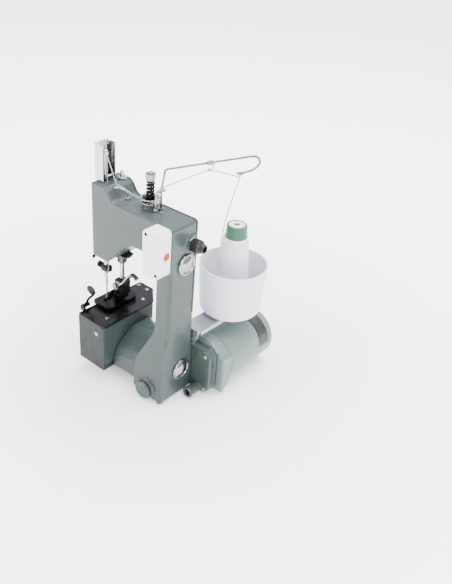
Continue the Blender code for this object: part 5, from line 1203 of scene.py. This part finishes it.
def make_needle_end():
    left, right, front, back = -130.0, -114.9, 6.1, 26.3
    thick = 1.2
    channel = rounded([
        (right, front, 0.4), (left, front, 2.4), (left, back, 2.4), (right, back, 0.4), (right, back - thick, 0.4),
        (left + thick, back - thick, 1.2), (left + thick, front + thick, 1.2), (right, front + thick, 0.4)], 8)
    guard = prism("guard_channel", "Z", [channel], HEAD_TOP + GAP, 298.3, 0.3, 3)
    dress(guard, CHROME, "machine", ["needle_bar_guard"])
    centre = (*NEEDLE, 0)
    bar = lathe("needle_bar_ground", "Z", centre,
                [(0.0, 291.0), (2.5, 291.0), (3.2, 290.2), (3.2, 131.2), (2.7, 130.5), (0.0, 130.5)], 64, 0.2)
    dress(bar, CHROME, "needle_drive", ["needle_bar"])
    crosshead_z = 217.0 + 60.3 * math.tan(math.radians(8.06))
    block_form = block("crosshead", (-125.2, 12.0, crosshead_z - 5.0), (-116.5, 20.2, crosshead_z + 5.0), 0, 1, False)
    combine(block_form, rod("crosshead_pin_form", "Y", (NEEDLE[0], 0, crosshead_z), 16.5, 27.0, 3.0), "UNION")
    dress(soften(block_form, 0.5, 3), STEEL, "needle_drive")
    x, y = NEEDLE
    eye = wire("take_up_eye", smooth_route([
        (x + 2.0, y, 287.5), (x + 5.0, y - 0.5, 288.6), (x + 7.9, y - 2.6, 288.9), (x + 9.4, y - 5.0, 287.4),
        (x + 7.9, y - 6.2, 285.6), (x + 6.3, y - 4.6, 284.9)], 10), 0.7)
    dress(eye, STEEL, "needle_drive")
    screw("take_up_screw", (x + 0.4, y - 3.1, 287.4), "Y", -1, 1.9, 1.1, "slot", DARK, "needle_drive")
    dress(lathe("lower_bush", "Z", centre, [(5.0, 149.5), (5.0, 164.0), (3.5, 164.0), (3.5, 149.5)], 64), STEEL,
          "machine", ["needle_bar_lower_bush"])
    dress(lathe("upper_bush", "Z", centre, [(5.4, 253.95), (5.4, 255.2), (4.9, 255.6), (3.5, 255.6), (3.5, 253.95)],
                64), DARK)
    clamp = block("needle_clamp_block", (-127.6, 10.8, 131.5), (-115.4, 20.3, 139.6), 1.3, 5)
    combine(clamp, rod("clamp_bore_form", "Z", centre, 120.0, 150.0, 3.5), "DIFFERENCE")
    combine(clamp, rod("clamp_screw_form", "X", (0, y, 135.4), -140.0, -124.0, 2.1), "DIFFERENCE")
    combine(clamp, block("clamp_split_form", (-140.0, 9.0, 135.0), (-129.0, 25.0, 135.2), 0, 1, False), "DIFFERENCE")
    dress(soften(clamp), DARK, "needle_drive", ["needle_clamp"])
    shank = lathe("clamp_screw_shank", "X", (0, y, 135.4),
                  [(0.0, -126.1), (1.8, -126.1), (1.8, -128.3), (2.6, -128.5), (2.6, -131.1), (0.0, -131.1)], 40)
    dress(shank, DARK, "clamp_screw", ["needle_clamp_screw"])
    dress(knurled("clamp_screw_grip", "X", (y, 135.4), -136.0, -131.0, 4.1, 22), DARK, "clamp_screw")
    needle = lathe("needle_ground", "Z", centre,
                   [(0.0, 130.2), (1.2, 130.2), (1.2, 112.0), (0.85, 109.5), (0.85, 92.0), (0.62, 89.0),
                    (0.30, 87.0), (0.0, 86.0)], 32, 0.1)
    combine(needle, rod("needle_eye_form", "Y", (x, 0, 91.0), 0.0, 30.0, 0.32, steps=20), "DIFFERENCE")
    dress(soften(needle), STEEL, "needle_drive", ["needle"])


def make_presser():
    x, y = PRESSER
    centre = (x, y, 0)
    bar = lathe("presser_bar_ground", "Z", centre,
                [(0.0, 236.0), (2.8, 236.0), (3.2, 235.6), (3.2, 205.0), (5.4, 205.0), (5.4, 198.0), (3.2, 198.0),
                 (3.2, 109.4), (2.8, 109.0), (0.0, 109.0)], 64, 0.2)
    dress(bar, CHROME, "presser", ["presser_bar"])
    bush = lathe("presser_bush", "Z", centre,
                 [(5.6, 180.0), (5.6, 157.0), (6.4, 157.0), (6.4, 143.4), (5.6, 142.0), (3.5, 142.0), (3.5, 180.0)], 72)
    dress(bush, GUN, "machine", ["presser_bar_bush"])
    spring = wire("pressure_spring", helix((x, y), 4.6, 206.0, 242.6, 8.0, 36), 0.7)
    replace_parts(dress(spring, STEEL), "presser_spring")
    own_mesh(spring)
    cap = lathe("adjuster_body", "Z", centre,
                [(0.0, 263.0), (1.6, 263.0), (2.5, 262.6), (2.8, 261.9), (2.8, 256.5), (4.5, 256.3), (4.5, 246.6),
                 (0.0, 246.6)], 64, 0.2)
    dress(cap, CHROME, "pressure_knob", ["pressure_adjuster"])
    dress(knurled("adjuster_grip", "Z", (x, y), HEAD_TOP + GAP, 256.3, 5.6, 26, 4.6), CHROME, "pressure_knob")
    holder = block("presser_block", (-119.5, 26.5, 96.0), (-104.5, 41.0, 116.0), 1.3, 5)
    combine(holder, block("presser_toe_form", (-118.0, 24.0, 90.5), (-106.0, 39.0, 97.0), 0.8, 3), "UNION")
    combine(holder, rod("lever_pin_form", "Y", (x, 0, 111.0), 19.4, 30.0, 2.5), "UNION")
    combine(holder, rod("holder_bore_form", "Z", centre, 108.6, 130.0, 3.5), "DIFFERENCE")
    combine(holder, block("holder_split_form", (-119.9, 33.3, 99.0), (-113.0, 33.9, 118.0), 0, 1, False), "DIFFERENCE")
    dress(soften(holder), DARK, "presser", ["presser_holder"])
    screw("holder_screw", (-119.5, 31.0, 106.0), "X", -1, 2.6, 2.0, "slot", STEEL, "presser")
    screw("lever_pin_screw", (x, 19.5, 111.0), "Y", -1, 3.3, 1.3, "slot", STEEL, "presser")
    sole_outline = rounded([(-135.0, 6.0, 4.0), (-132.0, 2.0, 3.0), (-108.0, 2.0, 3.0), (-104.0, 8.0, 4.0),
                            (-103.0, 52.0, 5.0), (-131.0, 56.0, 6.0), (-135.0, 46.0, 5.0)], 8)
    needle_slot = rounded([(-125.0, 11.0, 2.0), (-119.5, 11.0, 2.0), (-119.5, 23.0, 2.0), (-125.0, 23.0, 2.0)], 6)
    sole = prism("presser_shoe", "Z", [sole_outline, needle_slot], 84.4, 87.4, 0.0, 1, False)
    combine(sole, prism("shoe_lug_form", "X", [rounded([(28.0, 86.0, 0.5), (37.0, 86.0, 0.5), (37.0, 93.0, 2.0),
                                                        (34.5, 95.5, 2.0), (30.5, 95.5, 2.0), (28.0, 93.0, 2.0)], 5)],
                        -122.0, -118.6, 0, 1, False), "UNION")
    combine(sole, prism("shoe_guard_form", "X", [rounded([(25.0, 86.0, 0.5), (50.0, 86.0, 0.5), (50.0, 90.5, 2.5),
                                                          (46.0, 93.0, 4.0), (29.0, 93.0, 4.0), (25.0, 90.5, 2.5)], 6)],
                        -129.0, -126.0, 0, 1, False), "UNION")
    dress(soften(sole, 0.45, 3), DARK, "presser", ["presser_sole"])
    path = [(x, 23.1, 111.0), (-106.0, 23.1, 113.5), (-99.5, 23.1, 119.0), (-93.5, 23.1, 127.5),
            (-88.0, 23.1, 134.5), (-81.5, 23.1, 138.2), (-75.5, 23.1, 136.0)]
    lever = wire("lifter_rod", smooth_route(path, 12), 2.35, 8)
    combine(lever, rod("lever_eye_form", "Y", (x, 0, 111.0), 20.7, 25.5, 5.0), "UNION")
    combine(lever, rod("lever_bore_form", "Y", (x, 0, 111.0), 15.0, 30.0, 2.8), "DIFFERENCE")
    dress(soften(lever, 0.3, 2, 50.0), LEVER, "lifter", ["lifter_lever"])
    tip = wire("lifter_tip", smooth_route([(-84.0, 23.1, 137.6), (-81.5, 23.1, 138.25), (-78.5, 23.1, 137.6),
                                           (-74.8, 23.1, 135.6)], 8), 2.75, 8)
    dress(tip, BLACK, "lifter")


def make_cutter():
    stem = wire("cutter_stem", smooth_route([(-134.2, -8.0, 84.6), (-133.9, -7.4, 90.0), (-132.0, -4.6, 95.0),
                                             (-129.4, -1.6, 98.6), (-128.2, -0.4, 101.0)], 10), 1.6, 8)
    combine(stem, rod("cutter_hub_form", "Y", (-134.2, 0, 85.6), -12.0, -4.5, 2.8), "UNION")
    combine(stem, rod("cutter_bore_form", "Y", (-134.2, 0, 85.6), -20.0, 5.0, 1.6), "DIFFERENCE")
    dress(soften(stem, 0.25, 2, 50.0), DARK, "cutter", ["cutter_lever"])
    form = bmesh.new()
    bmesh.ops.create_uvsphere(form, u_segments=48, v_segments=32, radius=1.0)
    long_way = Vector((-0.366, -0.341, 0.866)).normalized()
    thin_way = Vector((0.664, -0.747, 0.0)).cross(long_way).cross(long_way).normalized() * -1.0
    wide_way = long_way.cross(thin_way)
    for vertex in form.verts:
        x, y, z = vertex.co
        dished = 1.9 * x * (0.8 + 0.2 * z * z)
        vertex.co = at(*(Vector((-130.8, -2.7, 106.0)) + thin_way * dished + wide_way * 4.5 * y + long_way * 7.5 * z))
    mesh = bpy.data.meshes.new("cutter_paddle")
    form.to_mesh(mesh)
    form.free()
    paddle = new_object("cutter_paddle", mesh)
    paddle.data.shade_smooth()
    dress(paddle, BLACK, "cutter")


make_needle_end()
make_presser()
make_cutter()

# ---------------------------------------------------------------- tension unit and guides

def make_tension():
    x, y = TENSION
    centre = (x, y, 0)
    thread = [(2.4 if k % 2 else 2.08, 281.0 - 0.6 - 0.3 * k) for k in range(44)]
    post = lathe("tension_stud", "Z", centre, [(0.0, 281.0), (1.7, 281.0), *thread, (2.4, 267.0), (2.4, 236.0),
                                              (2.0, 235.5), (0.0, 235.5)], 48, 0.0)
    dress(post, STEEL, "machine", ["tension_post"])
    disc = [(11.4, 1.9), (11.4, 1.4), (6.5, 0.4), (5.0, 0.0), (2.7, 0.0), (2.7, 0.8), (5.0, 0.8), (6.3, 1.2),
            (10.9, 2.2), (11.2, 2.3)]
    low = BOSS_TOP + GAP
    dress(lathe("lower_disc", "Z", centre, [(r, low + 2.3 - h) for r, h in reversed(disc)], 128, 0.3), CHROME,
          "machine", ["tension_disc_lower"])
    dress(lathe("upper_disc", "Z", centre, [(r, low + 3.4 + h) for r, h in disc], 128, 0.3), CHROME,
          "machine", ["tension_disc_upper"])
    star = fluted_outline((x, y), 9.3, 6.4, 9, 10)
    washer = prism("star_washer", "Z", [star, ring_outline((x, y), 2.8, 40)], low + 4.9, low + 5.6, 0.2, 2)
    dress(washer, DARK)
    coil = wire("check_spring", helix((x, y), 3.9, low + 6.8, 268.4, 5.5, 40), 1.25, 6)
    dress(coil, DARK, "machine", ["tension_spring"])
    cup = lathe("spring_cup", "Z", centre, [(4.6, 270.4), (4.9, 271.0), (4.9, 272.2), (2.7, 272.2), (2.7, 270.4)], 64)
    dress(cup, STEEL)
    nut = knurled("nut_grip", "Z", (x, y), 273.2, 278.6, 5.9, 24, 2.7)
    dress(nut, LEVER, "tension_knob", ["tension_nut"])
    dress(lathe("nut_collar", "Z", centre, [(4.4, 272.6), (5.0, 272.8), (5.0, 273.4), (2.7, 273.4), (2.7, 272.6)], 64),
          CHROME, "tension_knob")


def guide_point(share, z, side=0.0):
    """Place in the upright plane of the long wire guide, 0 at its post and 1 at its far bend."""
    base, end = (-42.5, 26.5), (-3.0, 128.0)
    along = Vector((end[0] - base[0], end[1] - base[1]))
    across = Vector((along[1], -along[0])).normalized() * side
    return (base[0] + along[0] * share + across[0], base[1] + along[1] * share + across[1], z)


def make_guides():
    top = 287.0
    loop = [guide_point(1.0, top), guide_point(1.07, top - 0.6), guide_point(1.125, top - 3.8),
            guide_point(1.145, top - 9.0), guide_point(1.115, top - 14.2), guide_point(1.05, top - 17.2),
            guide_point(0.965, top - 18.4), guide_point(0.90, top - 18.4), guide_point(0.87, top - 17.2, 2.0),
            guide_point(0.88, top - 17.0, 4.2), guide_point(0.915, top - 17.6, 4.0),
            guide_point(0.925, top - 18.0, 2.4)]
    route = smooth_route([(-42.5, 26.5, 236.0), (-42.5, 26.5, 262.0)], 4)
    route += smooth_route([(-41.9, 26.9, 268.0), (-40.1, 28.5, top - 3.0), guide_point(0.05, top - 0.3),
                           guide_point(0.12, top)], 10)
    route += [guide_point(share, top) for share in (0.3, 0.5, 0.7, 0.85)]
    route += smooth_route(loop, 10)
    dress(wire("thread_guide", route, 1.3, 8), WIRE, "machine", ["wire_guide"])
    hex_nut = prism("guide_nut", "Z", [rounded([(-42.5 + 3.4 * math.cos(math.radians(60 * k + 9)),
                                                 26.5 + 3.4 * math.sin(math.radians(60 * k + 9)), 0.4)
                                                for k in range(6)], 3), ring_outline((-42.5, 26.5), 1.6, 32)],
                    239.7, 242.0, 0.3, 2)
    dress(hex_nut, STEEL)
    centre = Vector(guide_point(0.54, top))
    along = (Vector(guide_point(1.0, top)) - Vector(guide_point(0.0, top))).normalized()
    across = along.cross(Vector((0.0, 0.0, 1.0)))
    hook = []
    for k in range(97):
        turn = 2 * math.pi * k / 24
        hook.append(centre + along * (-3.2 + 1.6 * k / 24) + across * 2.15 * math.sin(turn)
                    + Vector((0.0, 0.0, 2.15 * math.cos(turn))))
    hook = [tuple(spot) for spot in hook]
    tail = [centre + along * 3.2 + Vector((0.0, 0.0, 2.15)), centre + along * 3.9 + across * 1.8,
            centre + along * 3.6 + across * 1.6 - Vector((0, 0, 4.0)), centre + along * 2.6 + across * 1.5
            - Vector((0, 0, 7.4)), centre + along * 0.4 + across * 0.4 - Vector((0, 0, 9.9)),
            centre - along * 1.5 - across * 1.2 - Vector((0, 0, 8.6)),
            centre + along * 0.6 - across * 1.3 - Vector((0, 0, 7.2))]
    hook += smooth_route([tuple(spot) for spot in tail], 8)[1:]
    dress(wire("hanging_guide", hook, 0.72, 5), STEEL)
    pin = smooth_route([(-43.5, 19.0, 236.0), (-43.5, 19.0, 248.0), (-44.5, 20.0, 256.0), (-46.5, 23.0, 260.6),
                        (-46.0, 27.5, 262.5), (-43.6, 30.5, 262.9), (-42.6, 32.6, 261.2), (-44.6, 32.8, 259.6),
                        (-47.6, 30.0, 258.7), (-49.6, 27.2, 257.6)], 10)
    dress(wire("pin_guide_bent", pin, 0.9, 6), STEEL, "machine", ["pin_guide"])
    dress(lathe("pin_collar", "Z", (-43.5, 19.0, 0), [(2.6, 239.3), (2.6, 241.6), (2.2, 242.0), (1.2, 242.0),
                                                     (1.2, 239.3)], 48), STEEL)
    eyelet = smooth_route([(-89.5, 20.5, 236.0), (-89.5, 20.5, 243.0), (-90.3, 19.5, 248.0), (-93.5, 16.8, 250.4),
                           (-98.0, 14.2, 251.5), (-100.8, 11.3, 252.6), (-98.6, 8.6, 253.3), (-95.4, 10.0, 253.6),
                           (-95.6, 13.4, 254.0), (-98.2, 15.4, 254.4)], 10)
    dress(wire("eyelet_wire", eyelet, 0.8, 6), STEEL, "machine", ["arm_eyelet"])
    dress(lathe("eyelet_collar", "Z", (-89.5, 20.5, 0), [(2.9, 238.3), (2.9, 240.3), (2.4, 240.8), (1.1, 240.8),
                                                        (1.1, 238.3)], 48), STEEL)


def make_thread():
    eyelet = (-98.2, 11.4, 256.2)
    top = 287.0
    disc_height = BOSS_TOP + GAP + 2.85
    route = [(-9.2, 97.5, 176.0), (-9.4, 99.0, 195.0), (-6.5, 105.0, 232.0), guide_point(0.905, top - 21.0, 2.2),
             guide_point(0.86, top - 20.6, 2.0), guide_point(0.56, top - 9.2), guide_point(0.50, top - 9.3),
             (-44.8, 34.4, 263.9), (-46.6, 30.2, 260.4), (-45.4, 20.4, disc_height + 2.6),
             (-49.6, 19.8, disc_height + 0.4), (-54.0, 20.2, disc_height), (-61.0, 20.6, disc_height),
             (-71.5, 17.0, disc_height + 0.8), (-90.0, 13.2, 254.6), eyelet]
    dress(wire("feed_thread", smooth_route(route, 12), 0.6, 4), STRAND, "machine", ["thread_feed"])
    start = Vector(eyelet) + Vector((-0.6, 0.15, 0.5))
    end = Vector((NEEDLE[0] + 8.9, NEEDLE[1] - 4.6, 286.2))
    slack = dress(wire("take_up_thread", [tuple(start.lerp(end, k / 40)) for k in range(41)], 0.6, 4), STRAND)
    slack.parent = None
    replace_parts(slack, "thread_take_up")
    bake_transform(slack)
    x, y = NEEDLE[0] + 8.3, NEEDLE[1] - 4.4
    down = [(x, y, 286.0 - 147.0 * k / 20) for k in range(21)]
    down += smooth_route([(x, y - 0.6, 136.0), (x - 4.0, y - 3.2, 130.0), (NEEDLE[0] + 1.3, NEEDLE[1] - 2.2, 118.0),
                          (NEEDLE[0] + 0.7, NEEDLE[1] - 1.5, 92.0)], 10)
    dress(wire("sewing_thread", down, 0.5, 4), STRAND, "needle_drive", ["needle_thread"])


make_tension()
make_guides()
make_thread()

# ---------------------------------------------------------------- inside the arm, housing and base

refined("rocker_forging", "rocker_arm", STEEL, "rocker", 0.5, 3)
refined("rocker_shaft_ground", "rocker_shaft", STEEL)
refined("connecting_rod_forging", "connecting_rod", STEEL, "rod", 0.5, 3)
refined("crankshaft", "main_shaft", STEEL, "main_drive", 0.4, 2)
refined("bearing_sleeve", "main_bearing", BRASS)
refined("driven_gear", "main_gear", NYLON, "main_drive", 0.2, 2)
refined("pinion", "motor_pinion", STEEL, "armature", 0.15, 2)
refined("armature_core", "motor_rotor", STEEL, "armature", 0.4, 2)
refined("field_winding", "motor_stator", COPPER, "machine", 0.8, 3)
refined("looper_shaft_ground", "looper_shaft", STEEL, "looper_unit", 0.3, 2)
refined("looper_hook", "looper", STEEL, "looper_unit", 0.2, 2)
refined("feed_dog_teeth", "feed_dog", STEEL, "feeder", 0.2, 2)
